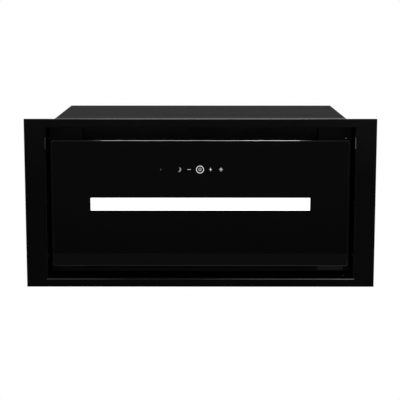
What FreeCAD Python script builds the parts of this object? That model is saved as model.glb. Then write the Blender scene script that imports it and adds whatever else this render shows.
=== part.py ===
import FreeCAD, Part
import os
import re
import Sketcher

# A built-in cooker hood as it hangs in its cabinet. +Z is up, -Y is the cook's side and +X is to
# the right from below. The origin is the centre of the flange's upper face, which rests on the
# cabinet's bottom board from below. Lengths are in millimetres.

os.makedirs("parts", exist_ok=True)
doc = FreeCAD.newDocument("cooker_hood")
vec = FreeCAD.Vector

# Driving dimensions, piece by piece. Angles are in degrees.
SIZES = {
    # what all cuts overrun by, the sheet steel, and the gap of pieces that rest beside each other
    "overrun": 2, "sheet": 1, "rest_gap": 0.3, "running_gap": 0.05,
    # trim frame: the flange seen from below, its borders and the short collar inside the cut-out
    "flange_width": 600, "flange_depth": 292.5, "flange_thick": 3,
    "side_border": 34.5, "front_border": 14,
    "collar_height": 22, "collar_thick": 1.2, "edge_round": 0.8,
    # chassis box
    "body_height": 370, "wall_foot": 1, "return_depth": 27,
    "cover_lip": 12, "lip_setback": 3,
    "side_hole_radius": 2.5, "side_hole_spacing": 120, "side_hole_height": 11,
    "rivet_radius": 1.6, "rivet_head_radius": 3.2, "rivet_head": 0.9, "rivet_corner": 39,
    "wall_screw_radius": 3.4, "wall_screw_head": 1.5, "wall_screw_end": 45,
    # spring clips on the side walls
    "clip_width": 30, "clip_foot": 32, "clip_height": 60, "clip_sheet": 0.8, "clip_angle": 9,
    # intake tray over the recess
    "tray_height": 47, "filter_lift": 8, "front_ledge": 10,
    # glass panel, its gaps to the frame, and the light window
    "side_gap": 11, "front_gap": 22.5, "glass_thick": 4, "glass_corner": 3.4, "glass_edge": 1.8,
    "light_side": 66.5, "light_depth": 22, "light_shift": 0.7, "diffuser_gap": 0.2,
    "diffuser_shoulder": 4, "shoulder_thick": 2, "diffuser_recess": 0.15,
    "pan_inset": 12, "pan_height": 14, "pan_window_gap": 0.5,
    "channel_wall": 1.5, "channel_height": 13, "led_board_depth": 16, "board_thick": 1.6,
    "led_length": 3.5, "led_depth": 2.8, "led_thick": 0.8, "led_count": 24,
    "touch_width": 108, "touch_depth": 24, "touch_inset": 50.5, "touch_gap": 2,
    # panel hinge
    "hinge_back": 16, "hinge_height": 18, "hinge_inward": 6.65, "hinge_pin_radius": 2.5,
    "hinge_pin_length": 13, "ear_thick": 2, "ear_width": 13, "hinge_foot_depth": 26,
    "hinge_foot_width": 14, "foot_thick": 1.5,
    # magnetic catches and centring studs
    "catch_inset": 14, "post_width": 17, "magnet_radius": 7, "magnet_thick": 3,
    "strike_width": 22, "strike_thick": 1.2,
    "stud_radius": 2, "stud_length": 10.5, "stud_head_radius": 2.6, "stud_head": 1,
    "stud_front": 21, "stud_height": 20,
    # grease filter
    "filter_side": 60.5, "filter_front": 9, "filter_thick": 9, "filter_gap": 0.8,
    "rail_width": 12, "rail_sheet": 1.2, "mesh_thick": 1, "slot_length": 14, "slot_width": 5,
    "layer_thick": 0.5, "layer_count": 4,
    "slot_pitch_across": 20, "slot_pitch_along": 11,
    "pivot_inset": 8, "pivot_radius": 2,
    "latch_width": 30, "latch_depth": 26, "latch_thick": 2, "latch_grip": 5,
    "guide_wall": 2, "guide_gap": 0.3, "guide_depth": 12,
    # blower
    "blower_height": 205, "scroll_radius": 112, "scroll_half_width": 80, "scroll_wall": 2,
    "chimney_half_depth": 78, "chimney_flange": 12, "inlet_radius": 70,
    "wheel_radius": 92, "wheel_half_width": 66, "blade_depth": 14, "blade_thick": 1.5,
    "blade_count": 30, "wheel_disc": 3, "wheel_ring": 3, "wheel_boss_radius": 10,
    "wheel_boss_length": 24,
    "motor_radius": 50, "motor_start": 12, "motor_length": 62, "shaft_radius": 4,
    "shaft_hole_gap": 1, "bearing_radius": 11, "bearing_width": 7,
    "spider_thick": 2, "spider_width": 24, "spider_hub_radius": 30, "mount_circle": 82,
    "mount_radius": 8, "mount_thick": 4,
    # duct spigot and non-return flaps
    "spigot_radius": 75, "spigot_wall": 2, "spigot_height": 45, "spigot_flange": 14,
    "spigot_flange_thick": 2, "spindle_lift": 14, "spindle_radius": 2, "ledge_width": 5,
    "ledge_thick": 2, "flap_gap": 1.5, "flap_thick": 1.5, "knuckle_wall": 2, "knuckle_gap": 0.5,
    "screw_radius": 2, "screw_head_radius": 3.8, "screw_head": 2.2,
    # control box
    "box_across": 168, "box_width": 118, "box_depth": 150, "box_height": 34, "box_wall": 2,
    "lid_thick": 2, "board_width": 96, "board_depth": 118, "board_lift": 6, "post_radius": 3,
    "board_post_inset": 6,
    "relay_width": 18, "relay_depth": 24, "relay_height": 15,
    "terminal_width": 36, "terminal_depth": 14, "terminal_height": 12,
    "capacitor_radius": 9, "capacitor_length": 44,
    "gland_radius": 10, "gland_bore": 4.5, "gland_length": 16, "gland_thread": 8,
    "box_screw_inset": 6,
}

# Places that several pieces share, worked out from the sizes.
PLACES = {
    "body_width": "flange_width - 2 * side_border",
    "body_depth": "flange_depth - 2 * front_border",
    "wall_x": "body_width / 2 - sheet",
    "return_x": "wall_x - sheet",
    "wall_y": "body_depth / 2 - sheet",
    "wall_top": "body_height - sheet",
    "wall_height": "wall_top - wall_foot",
    "filter_width": "body_width - 2 * filter_side",
    "filter_depth": "body_depth - 2 * filter_front",
    "tray_hole_width": "filter_width + 2 * filter_gap",
    "tray_hole_depth": "filter_depth + 2 * filter_gap",
    "filter_foot": "tray_height + filter_lift",
    "filter_top": "filter_foot + filter_thick",
    "ledge_foot": "filter_top + rest_gap",
    "pivot_y": "filter_depth / 2 - pivot_inset",
    "pivot_z": "filter_foot + filter_thick / 2",
    "glass_width": "body_width - 2 * side_gap",
    "glass_depth": "body_depth - 2 * front_gap",
    "glass_foot": "0 - flange_thick",
    "glass_top": "glass_thick - flange_thick",
    "pan_top": "glass_top + sheet",
    "pan_width": "glass_width - 2 * pan_inset",
    "pan_depth": "glass_depth - 2 * pan_inset",
    "channel_top": "pan_top + channel_height",
    "light_width": "glass_width - 2 * light_side",
    "touch_y": "0 - (glass_depth / 2 - touch_inset)",
    "hinge_y": "glass_depth / 2 - hinge_back",
    "ear_x": "(tray_hole_width / 2 + sheet + wall_x) / 2 - hinge_inward",
    "arm_x": "ear_x + ear_thick + rest_gap",
    "strike_top": "pan_top + strike_thick",
    "magnet_foot": "strike_top + rest_gap",
    "post_foot": "magnet_foot + magnet_thick",
    "catch_y": "0 - (pan_depth / 2 - catch_inset)",
    "latch_y": "0 - (filter_depth / 2 - latch_depth / 2)",
    "latch_foot": "filter_foot - latch_thick - guide_gap",
    "wheel_inner": "wheel_radius - blade_depth",
    "motor_x": "0 - (motor_start + motor_length / 2)",
    "motor_end": "0 - (motor_start + motor_length)",
    "spider_x": "0 - (scroll_half_width + mount_thick + spider_thick / 2)",
    "spigot_bore": "spigot_radius - spigot_wall",
    "spindle_z": "body_height + spindle_lift",
    "flap_radius": "spigot_bore - flap_gap",
    "knuckle_radius": "spindle_radius + running_gap + knuckle_wall",
    "box_top": "body_height + box_height",
    "board_foot": "body_height + box_wall + board_lift",
    "board_top": "board_foot + board_thick",
    "gland_z": "body_height + box_height / 2",
}

sizes = doc.addObject("Spreadsheet::Sheet", "Sizes")
for row, (alias, number) in enumerate(SIZES.items(), start=1):
    sizes.set(f"A{row}", alias)
    sizes.set(f"B{row}", str(number))
    sizes.setAlias(f"B{row}", alias)
doc.recompute()

parts = []


# The expression for a text of sizes and places.
def bound(text):
    def spell(word):
        name = word.group()
        if name in PLACES:
            return "(" + bound(PLACES[name]) + ")"
        return "Sizes." + name if name in SIZES else name
    return re.sub(r"[a-z][a-z_]*", spell, text)


# A block centred on x and y that stands on z.
def box(name, x, y, z, length, width, height):
    block = doc.addObject("Part::Box", name)
    block.setExpression("Length", bound(length))
    block.setExpression("Width", bound(width))
    block.setExpression("Height", bound(height))
    block.setExpression(".Placement.Base.x", bound(f"{x} - ({length}) / 2"))
    block.setExpression(".Placement.Base.y", bound(f"{y} - ({width}) / 2"))
    block.setExpression(".Placement.Base.z", bound(z))
    return block


# A round bar. One along z stands on z, and one along x or y is centred there.
def rod(name, x, y, z, radius, length, along="z"):
    turns = {"x": (vec(0, 1, 0), 90), "y": (vec(1, 0, 0), -90), "z": (vec(0, 0, 1), 0)}
    bar = doc.addObject("Part::Cylinder", name)
    bar.Placement = FreeCAD.Placement(vec(), FreeCAD.Rotation(*turns[along]))
    bar.setExpression("Radius", bound(radius))
    bar.setExpression("Height", bound(length))
    for axis, place in zip("xyz", (x, y, z)):
        middle = f" - ({length}) / 2" if axis == along and along != "z" else ""
        bar.setExpression(f".Placement.Base.{axis}", bound(place + middle))
    return bar


def fuse(name, *shapes):
    joined = doc.addObject("Part::MultiFuse", name)
    joined.Shapes = list(shapes)
    joined.Refine = True
    return joined


def cut(name, base, *tools):
    taken = doc.addObject("Part::Cut", name)
    taken.Base = base
    taken.Tool = tools[0] if len(tools) == 1 else fuse(name + "_tools", *tools)
    return taken


def common(name, first, second):
    shared = doc.addObject("Part::Common", name)
    shared.Base = first
    shared.Tool = second
    return shared


def group(name, shapes):
    several = doc.addObject("Part::Compound", name)
    several.Links = list(shapes)
    return several


# Names the finished sub-part and keeps it for writing.
def keep(node, part):
    part.Label = node
    parts.append(part)
    return part


def ring(name, x, y, z, outer, inner, height, along="z"):
    longer = f"({height}) + 2 * overrun"
    start = f"{z} - overrun" if along == "z" else z
    return cut(
        name, rod(name + "_disc", x, y, z, outer, height, along),
        rod(name + "_bore", x, y, start, inner, longer, along))


# A rectangular frame: a block with a smaller opening right through it.
def frame(name, x, y, z, length, width, height, hole_length, hole_width):
    return cut(
        name, box(name + "_block", x, y, z, length, width, height),
        box(name + "_hole", x, y, f"{z} - overrun", hole_length, hole_width,
            f"{height} + 2 * overrun"))


# PartDesign helpers: a sketch on one of the body's own origin planes, lifted along its normal.
def sketch_on(body, name, role, lift):
    drawing = body.newObject("Sketcher::SketchObject", name)
    plane = next(one for one in body.Origin.OriginFeatures if one.Role == role)
    drawing.AttachmentSupport = [(plane, "")]
    drawing.MapMode = "FlatFace"
    drawing.setExpression(".AttachmentOffset.Base.z", bound(lift))
    return drawing


def bind(drawing, constraint, text):
    index = drawing.addConstraint(constraint)
    label = f"size_{index}"
    drawing.renameConstraint(index, label)
    drawing.setExpression(f"Constraints.{label}", bound(text))


# A rectangle round the sketch's origin, or one that stands on the sketch's y at foot.
def rectangle(drawing, width, depth, foot=None):
    first = drawing.GeometryCount
    low = 1 if foot else -1
    corners = [vec(-1, low, 0), vec(1, low, 0), vec(1, low + 2, 0), vec(-1, low + 2, 0)]
    for index in range(4):
        drawing.addGeometry(Part.LineSegment(corners[index], corners[(index + 1) % 4]))
    for index in range(4):
        drawing.addConstraint(Sketcher.Constraint(
            "Coincident", first + index, 2, first + (index + 1) % 4, 1))
    drawing.addConstraint(Sketcher.Constraint("Horizontal", first + 2))
    drawing.addConstraint(Sketcher.Constraint("Vertical", first + 1))
    drawing.addConstraint(Sketcher.Constraint("Vertical", first + 3))
    if foot:
        drawing.addConstraint(Sketcher.Constraint("Symmetric", first, 1, first, 2, -2))
        bind(drawing, Sketcher.Constraint("DistanceY", -1, 1, first, 1, 1), foot)
    else:
        drawing.addConstraint(Sketcher.Constraint("Horizontal", first))
        drawing.addConstraint(Sketcher.Constraint("Symmetric", first, 1, first + 1, 2, -1, 1))
    bind(drawing, Sketcher.Constraint("DistanceX", first, 1, first, 2, 2), width)
    bind(drawing, Sketcher.Constraint("DistanceY", first + 1, 1, first + 1, 2, 2), depth)


def circle(drawing, radius):
    index = drawing.addGeometry(Part.Circle(vec(), vec(0, 0, 1), 1))
    drawing.addConstraint(Sketcher.Constraint("Coincident", index, 3, -1, 1))
    bind(drawing, Sketcher.Constraint("Radius", index, 1), radius)


def pad(body, drawing, name, length):
    feature = body.newObject("PartDesign::Pad", name)
    feature.Profile = drawing
    feature.setExpression("Length", bound(length))
    return feature


# The names of a feature's edges that a test picks.
def edges_where(feature, test):
    doc.recompute()
    return [f"Edge{index}" for index, edge in enumerate(feature.Shape.Edges, start=1) if test(edge)]


# Trim frame: flange and collar in one piece, with rounded edges towards the kitchen.
def trim_frame():
    body = doc.addObject("PartDesign::Body", "trim_sheet")
    flange = sketch_on(body, "flange_outline", "XY_Plane", "glass_foot")
    rectangle(flange, "flange_width", "flange_depth")
    rectangle(flange, "body_width", "body_depth")
    pad(body, flange, "flange", "flange_thick")
    collar = sketch_on(body, "collar_outline", "XY_Plane", "0")
    rectangle(collar, "body_width + 2 * collar_thick", "body_depth + 2 * collar_thick")
    rectangle(collar, "body_width", "body_depth")
    raised = pad(body, collar, "collar", "collar_height")
    face_z = -sizes.get("flange_thick")
    nearly = sizes.get("edge_round") / 10
    rounds = body.newObject("PartDesign::Fillet", "face_edges")
    rounds.Base = (raised, edges_where(
        raised, lambda edge: abs(edge.BoundBox.ZMax - face_z) < nearly))
    rounds.setExpression("Radius", bound("edge_round"))
    body.Tip = rounds
    side_cuts = rivet_bores("collar") + screw_bores("collar")
    keep("trim_frame", cut("trim_frame_drilled", body, *side_cuts))


# Bores for the rivets and for the cabinet screws, through the collar and the side walls.
def rivet_bores(owner):
    bores = []
    for side, sign in (("left", -1), ("right", 1)):
        for place in (-1, 0, 1):
            bores.append(rod(
                f"{owner}_rivet_bore_{side}_{place + 1}", f"{sign} * body_width / 2",
                f"{place} * (body_depth / 2 - rivet_corner)", "side_hole_height", "rivet_radius",
                "2 * (sheet + collar_thick + overrun)", "x"))
    return bores


def screw_bores(owner):
    bores = []
    for side, sign in (("left", -1), ("right", 1)):
        for place in (-1, 1):
            bores.append(rod(
                f"{owner}_screw_bore_{side}_{place + 1}", f"{sign} * body_width / 2",
                f"{place} * side_hole_spacing / 2", "side_hole_height", "side_hole_radius",
                "2 * (sheet + collar_thick + overrun)", "x"))
    return bores


# Front and rear walls: full width, with returns that lie inside the side walls.
def end_walls():
    for node, sign in (("front_wall", -1), ("rear_wall", 1)):
        plate = box(
            node + "_plate", "0", f"{sign} * (wall_y + sheet / 2)", "wall_foot",
            "body_width", "sheet", "wall_height")
        returns = [
            box(f"{node}_return_{side}", f"{turn} * (return_x + sheet / 2)",
                f"{sign} * (wall_y - return_depth / 2)", "wall_foot", "sheet", "return_depth",
                "wall_height")
            for side, turn in (("left", -1), ("right", 1))]
        keep(node, fuse(node + "_folded", plate, *returns))


def side_walls():
    for node, sign in (("left_wall", -1), ("right_wall", 1)):
        plate = box(
            node + "_plate", f"{sign} * (wall_x + sheet / 2)", "0", "wall_foot",
            "sheet", "2 * wall_y", "wall_height")
        keep(node, cut(node + "_drilled", plate, *rivet_bores(node), *screw_bores(node)))


# Rivets through collar and side wall, with a head on each side.
def frame_rivets():
    rivets = []
    for side, sign in (("left", -1), ("right", 1)):
        for place in (-1, 0, 1):
            name = f"rivet_{side}_{place + 1}"
            y = f"{place} * (body_depth / 2 - rivet_corner)"
            shank = rod(
                name + "_shank", f"{sign} * (body_width / 2 + (collar_thick - sheet) / 2)", y,
                "side_hole_height", "rivet_radius", "sheet + collar_thick", "x")
            outer = rod(
                name + "_outer", f"{sign} * (body_width / 2 + collar_thick + rivet_head / 2)", y,
                "side_hole_height", "rivet_head_radius", "rivet_head", "x")
            inner = rod(
                name + "_inner", f"{sign} * (wall_x - rivet_head / 2)", y, "side_hole_height",
                "rivet_head_radius", "rivet_head", "x")
            rivets.append(fuse(name, shank, outer, inner))
    keep("frame_rivets", group("frame_rivets_group", rivets))


# Screws that hold the side walls to the end walls' returns.
def wall_screws():
    screws = []
    for side, sign in (("left", -1), ("right", 1)):
        for end, turn in (("front", -1), ("rear", 1)):
            for place in (-1, 0, 1):
                screws.append(rod(
                    f"wall_screw_{side}_{end}_{place + 1}",
                    f"{sign} * (body_width / 2 + wall_screw_head / 2)",
                    f"{turn} * (wall_y - return_depth / 2)",
                    f"body_height / 2 + {place} * (body_height / 2 - wall_screw_end)",
                    "wall_screw_radius", "wall_screw_head", "x"))
    keep("wall_screws", group("wall_screws_group", screws))


# Top cover: a plate on the walls with lips down inside the front and rear walls.
def top_cover():
    plate = box("cover_plate", "0", "0", "wall_top", "body_width", "body_depth", "sheet")
    lips = [
        box(f"cover_lip_{end}", "0", f"{sign} * (wall_y - sheet / 2)", "wall_top - cover_lip",
            "2 * (return_x - lip_setback)", "sheet", "cover_lip")
        for end, sign in (("front", -1), ("rear", 1))]
    hole = rod(
        "cover_hole", "0", "0", "wall_top - overrun", "spigot_bore", "sheet + 2 * overrun")
    keep("top_cover", cut("top_cover_holed", fuse("cover_folded", plate, *lips), hole))


# Spring clips: a foot riveted to the side wall and a wing that flares out above the cabinet board.
def side_clips():
    for node, sign in (("side_clip_left", -1), ("side_clip_right", 1)):
        foot = box(
            node + "_foot", f"{sign} * (body_width / 2 + clip_sheet / 2)", "0", "clip_foot",
            "clip_sheet", "clip_width", "clip_height")
        bend = rod(
            node + "_bend", f"{sign} * (body_width / 2 + clip_sheet)", "0",
            "clip_foot + clip_height", "clip_sheet", "clip_width", "y")
        wing = doc.addObject("Part::Box", node + "_wing")
        wing.setExpression("Length", bound("clip_sheet"))
        wing.setExpression("Width", bound("clip_width"))
        wing.setExpression("Height", bound("clip_height"))
        outside = "2 * clip_sheet" if sign > 0 else "clip_sheet"
        wing.Placement.Rotation = FreeCAD.Rotation(vec(0, 1, 0), 180)
        wing.setExpression(".Placement.Rotation.Angle", bound(f"180 - {sign} * clip_angle"))
        wing.setExpression(".Placement.Base.x", bound(f"{sign} * (body_width / 2 + {outside})"))
        wing.setExpression(".Placement.Base.y", bound("0 - clip_width / 2"))
        wing.setExpression(".Placement.Base.z", bound("clip_foot + clip_height"))
        keep(node, fuse(node + "_bent", foot, bend, wing))


# Intake tray: the recess's ceiling, with an upright collar round the filter and a front ledge.
def intake_tray():
    plate = frame(
        "tray_plate", "0", "0", "tray_height", "2 * return_x", "2 * wall_y", "sheet",
        "tray_hole_width", "tray_hole_depth")
    collar = frame(
        "tray_collar", "0", "0", "tray_height", "tray_hole_width + 2 * sheet",
        "tray_hole_depth + 2 * sheet", "ledge_foot + sheet - tray_height",
        "tray_hole_width", "tray_hole_depth")
    ledge = box(
        "tray_ledge", "0", "0 - (tray_hole_depth / 2 + sheet - front_ledge / 2)", "ledge_foot",
        "tray_hole_width", "front_ledge", "sheet")
    pivots = rod(
        "tray_pivot_holes", "0", "pivot_y", "pivot_z", "pivot_radius + running_gap",
        "tray_hole_width + 2 * (sheet + overrun)", "x")
    keep("intake_tray", cut("tray_drilled", fuse("tray_folded", plate, collar, ledge), pivots))


# Glass pane with rounded corners, a window for the light and a round ground edge.
def glass_pane():
    body = doc.addObject("PartDesign::Body", "glass_slab")
    outline = sketch_on(body, "glass_outline", "XY_Plane", "glass_foot")
    rectangle(outline, "glass_width", "glass_depth")
    slab = pad(body, outline, "slab", "glass_thick")
    upright = edges_where(slab, lambda edge: edge.BoundBox.ZLength > sizes.get("glass_thick") / 2)
    corners = body.newObject("PartDesign::Fillet", "glass_corners")
    corners.Base = (slab, upright)
    corners.setExpression("Radius", bound("glass_corner"))
    flat = edges_where(corners, lambda edge: edge.BoundBox.ZLength < sizes.get("glass_thick") / 2)
    ground = body.newObject("PartDesign::Fillet", "ground_edge")
    ground.Base = (corners, flat)
    ground.setExpression("Radius", bound("glass_edge"))
    body.Tip = ground
    window = box(
        "glass_window", "0", "light_shift", "glass_foot - overrun", "light_width",
        "light_depth", "glass_thick + 2 * overrun")
    keep("glass_pane", cut("glass_pane_windowed", body, window))


# Opal diffuser: its face fills the window and its shoulder rests on the pan.
def light_diffuser():
    face = box(
        "diffuser_face", "0", "light_shift", "glass_foot + diffuser_recess",
        "light_width - 2 * diffuser_gap", "light_depth - 2 * diffuser_gap",
        "pan_top - glass_foot - diffuser_recess")
    shoulder = box(
        "diffuser_ledge", "0", "light_shift", "pan_top",
        "light_width + 2 * diffuser_shoulder", "light_depth + 2 * diffuser_shoulder",
        "shoulder_thick")
    keep("light_diffuser", fuse("diffuser", face, shoulder))


# Panel pan: steel pan glued to the glass, with lips at the front and the sides.
def panel_pan():
    floor = box("pan_floor", "0", "0", "glass_top", "pan_width", "pan_depth", "sheet")
    front = box(
        "pan_front_lip", "0", "0 - (pan_depth - sheet) / 2", "glass_top", "pan_width", "sheet",
        "pan_height")
    sides = [
        box(f"pan_{side}_lip", f"{sign} * (pan_width - sheet) / 2", "0", "glass_top", "sheet",
            "pan_depth", "pan_height")
        for side, sign in (("left", -1), ("right", 1))]
    light_slot = box(
        "pan_light_slot", "0", "light_shift", "glass_top - overrun",
        "light_width + 2 * pan_window_gap", "light_depth + 2 * pan_window_gap",
        "sheet + 2 * overrun")
    touch_slot = box(
        "pan_touch_slot", "0", "touch_y", "glass_top - overrun",
        "touch_width + 2 * touch_gap", "touch_depth + 2 * touch_gap", "sheet + 2 * overrun")
    keep("panel_pan", cut("panel_pan_cut", fuse("pan_folded", floor, front, *sides),
                          light_slot, touch_slot))


# Light channel over the diffuser, with the lamp board under its roof.
def light_unit():
    outer_width = "light_width + 2 * (diffuser_shoulder + rest_gap + channel_wall)"
    outer_depth = "light_depth + 2 * (diffuser_shoulder + rest_gap + channel_wall)"
    block = box(
        "channel_block", "0", "light_shift", "pan_top", outer_width, outer_depth,
        "channel_height")
    hollow = box(
        "channel_hollow", "0", "light_shift", "pan_top - overrun",
        f"{outer_width} - 2 * channel_wall", f"{outer_depth} - 2 * channel_wall",
        "channel_height - channel_wall + overrun")
    keep("light_channel", cut("light_channel_cut", block, hollow))
    keep("led_board", box(
        "led_board_plate", "0", "light_shift", "channel_top - channel_wall - board_thick",
        "light_width", "led_board_depth", "board_thick"))
    count = int(sizes.get("led_count"))
    chips = [
        box(f"led_{index}", f"light_width * ({index} + 1 / 2) / led_count - light_width / 2",
            "light_shift", "channel_top - channel_wall - board_thick - led_thick",
            "led_length", "led_depth", "led_thick")
        for index in range(count)]
    keep("led_chips", group("led_chips_group", chips))


def touch_board():
    keep("touch_board", box(
        "touch_board_plate", "0", "touch_y", "glass_top", "touch_width", "touch_depth",
        "board_thick"))


# Panel hinges: fixed ears hang from the tray, and arms stand on the pan and carry the pins.
def hinges():
    for side, sign in (("left", -1), ("right", 1)):
        ear = box(
            f"ear_{side}_plate", f"{sign} * (ear_x + ear_thick / 2)", "hinge_y",
            "hinge_height - ear_width / 2", "ear_thick", "ear_width",
            "tray_height - hinge_height + ear_width / 2")
        foot = box(
            f"ear_{side}_foot", f"{sign} * (ear_x + ear_thick / 2 - hinge_foot_width / 2)",
            "hinge_y", "tray_height - foot_thick", "hinge_foot_width", "hinge_foot_depth",
            "foot_thick")
        ear_hole = rod(
            f"ear_{side}_hole", f"{sign} * (ear_x + ear_thick / 2)", "hinge_y", "hinge_height",
            "hinge_pin_radius + running_gap", "ear_thick + 2 * overrun", "x")
        keep(f"hinge_bracket_{side}", cut(
            f"ear_{side}", fuse(f"ear_{side}_folded", ear, foot), ear_hole))
        arm = box(
            f"arm_{side}_plate", f"{sign} * (arm_x + ear_thick / 2)", "hinge_y", "pan_top",
            "ear_thick", "ear_width", "hinge_height + ear_width / 2 - pan_top")
        tread = box(
            f"arm_{side}_foot", f"{sign} * (arm_x + ear_thick / 2 - hinge_foot_width / 2)",
            "hinge_y - hinge_foot_width / 2", "pan_top", "hinge_foot_width", "hinge_foot_width",
            "foot_thick")
        arm_hole = rod(
            f"arm_{side}_hole", f"{sign} * (arm_x + ear_thick / 2)", "hinge_y", "hinge_height",
            "hinge_pin_radius", "ear_thick + 2 * overrun", "x")
        keep(f"hinge_arm_{side}", cut(
            f"arm_{side}", fuse(f"arm_{side}_folded", arm, tread), arm_hole))
    pins = [
        rod(f"hinge_pin_{side}", f"{sign} * (ear_x + ear_thick + rest_gap / 2)", "hinge_y",
            "hinge_height", "hinge_pin_radius", "hinge_pin_length", "x")
        for side, sign in (("left", -1), ("right", 1))]
    keep("hinge_pins", group("hinge_pins_group", pins))


# Magnetic catches: posts under the tray with magnets, and strike plates on the pan.
def catches():
    posts, magnets, strikes = [], [], []
    for side, sign in (("left", -1), ("right", 1)):
        x = f"{sign} * ear_x"
        posts.append(box(
            f"catch_post_{side}", x, "catch_y", "post_foot", "post_width", "post_width",
            "tray_height - post_foot"))
        magnets.append(rod(
            f"catch_magnet_{side}", x, "catch_y", "magnet_foot", "magnet_radius",
            "magnet_thick"))
        strikes.append(box(
            f"strike_plate_{side}", x, "catch_y", "pan_top", "strike_width", "strike_width",
            "strike_thick"))
    keep("catch_posts", group("catch_posts_group", posts))
    keep("catch_magnets", group("catch_magnets_group", magnets))
    keep("strike_plates", group("strike_plates_group", strikes))


# Steel studs on the front wall's returns that keep the closing panel centred.
def centring_studs():
    studs = []
    for side, sign in (("left", -1), ("right", 1)):
        y = "0 - (wall_y - stud_front)"
        stem = rod(
            f"stud_{side}_stem", f"{sign} * (return_x - stud_length / 2)", y, "stud_height",
            "stud_radius", "stud_length", "x")
        head = rod(
            f"stud_{side}_head", f"{sign} * (return_x - stud_length - stud_head / 2)", y,
            "stud_height", "stud_head_radius", "stud_head", "x")
        studs.append(fuse(f"stud_{side}", stem, head))
    keep("centring_studs", group("centring_studs_group", studs))


# Grease filter frame: a hollow rail round the mesh, with pivot pins at the rear.
def filter_frame():
    block = box(
        "filter_block", "0", "0", "filter_foot", "filter_width", "filter_depth", "filter_thick")
    window = box(
        "filter_window", "0", "0", "filter_foot - overrun", "filter_width - 2 * rail_width",
        "filter_depth - 2 * rail_width", "filter_thick + 2 * overrun")
    groove = box(
        "filter_groove", "0", "0", "filter_foot + rail_sheet", "filter_width - 2 * rail_sheet",
        "filter_depth - 2 * rail_sheet", "filter_thick - 2 * rail_sheet")
    pins = [
        rod(f"filter_pin_{side}", f"{sign} * (filter_width / 2 + (filter_gap + sheet) / 2)",
            "pivot_y", "pivot_z", "pivot_radius", "filter_gap + sheet", "x")
        for side, sign in (("left", -1), ("right", 1))]
    hollow = cut("filter_rails", block, window, groove)
    keep("filter_frame", fuse("filter_frame_pinned", hollow, *pins))


# Mesh layers: a slotted sheet below finer layers of mesh, all held in the frame's groove.
def filter_layers():
    filter_width = sizes.get("flange_width") - 2 * (
        sizes.get("side_border") + sizes.get("filter_side"))
    filter_depth = sizes.get("flange_depth") - 2 * (
        sizes.get("front_border") + sizes.get("filter_front"))
    across = filter_width - 2 * sizes.get("rail_sheet")
    along = filter_depth - 2 * sizes.get("rail_sheet")
    half_slot = vec(sizes.get("slot_length") / 2, sizes.get("slot_width") / 2)
    open_across = filter_width - 2 * sizes.get("rail_width")
    open_along = filter_depth - 2 * sizes.get("rail_width")
    columns = int(open_across // sizes.get("slot_pitch_across"))
    rows = int(open_along // sizes.get("slot_pitch_along"))

    def loop(centre, half):
        corners = [
            centre + vec(-half.x, -half.y), centre + vec(half.x, -half.y),
            centre + vec(half.x, half.y), centre + vec(-half.x, half.y)]
        return Part.makePolygon(corners + corners[:1])

    slots = []
    for column in range(columns):
        for line in range(rows):
            slots.append(loop(vec(
                (column - (columns - 1) / 2) * sizes.get("slot_pitch_across"),
                (line - (rows - 1) / 2) * sizes.get("slot_pitch_along")), half_slot))
    outline = loop(vec(), vec(across / 2, along / 2))
    face = Part.makeFace([outline] + slots, "Part::FaceMakerBullseye")
    mesh = doc.addObject("Part::Feature", "filter_mesh_sheet")
    mesh.Shape = face.extrude(vec(0, 0, sizes.get("mesh_thick")))
    mesh.setExpression(".Placement.Base.z", bound("filter_foot + rail_sheet"))
    keep("filter_mesh", mesh)
    room = "filter_thick - 2 * rail_sheet - mesh_thick"
    layers = [
        box(f"filter_layer_{index}", "0", "0",
            f"filter_foot + rail_sheet + mesh_thick + ({room}) * ({index} + 1) / layer_count"
            " - layer_thick",
            "filter_width - 2 * rail_sheet", "filter_depth - 2 * rail_sheet", "layer_thick")
        for index in range(int(sizes.get("layer_count")))]
    keep("filter_layers", group("filter_layers_group", layers))


# Filter latch: a slider with a finger grip in a guide under the frame's front rail.
def filter_latch():
    slider = box(
        "latch_slider", "0", "latch_y", "latch_foot", "latch_width", "latch_depth",
        "latch_thick")
    grip = box(
        "latch_grip_bar", "0", "latch_y + (latch_depth - latch_thick) / 2",
        "latch_foot - latch_grip", "latch_width", "latch_thick", "latch_grip")
    keep("filter_latch", fuse("filter_latch_folded", slider, grip))
    guide_y = "0 - (filter_depth / 2 - guide_depth / 2)"
    guide_height = "latch_thick + 2 * guide_gap + guide_wall"
    block = box(
        "guide_block", "0", guide_y, f"filter_foot - ({guide_height})",
        "latch_width + 2 * (guide_gap + guide_wall)", "guide_depth", guide_height)
    channel = box(
        "guide_channel", "0", guide_y, "filter_foot - latch_thick - 2 * guide_gap",
        "latch_width + 2 * guide_gap", "guide_depth + 2 * overrun",
        "latch_thick + 2 * guide_gap + overrun")
    keep("latch_guide", cut("latch_guide_cut", block, channel))


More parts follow.
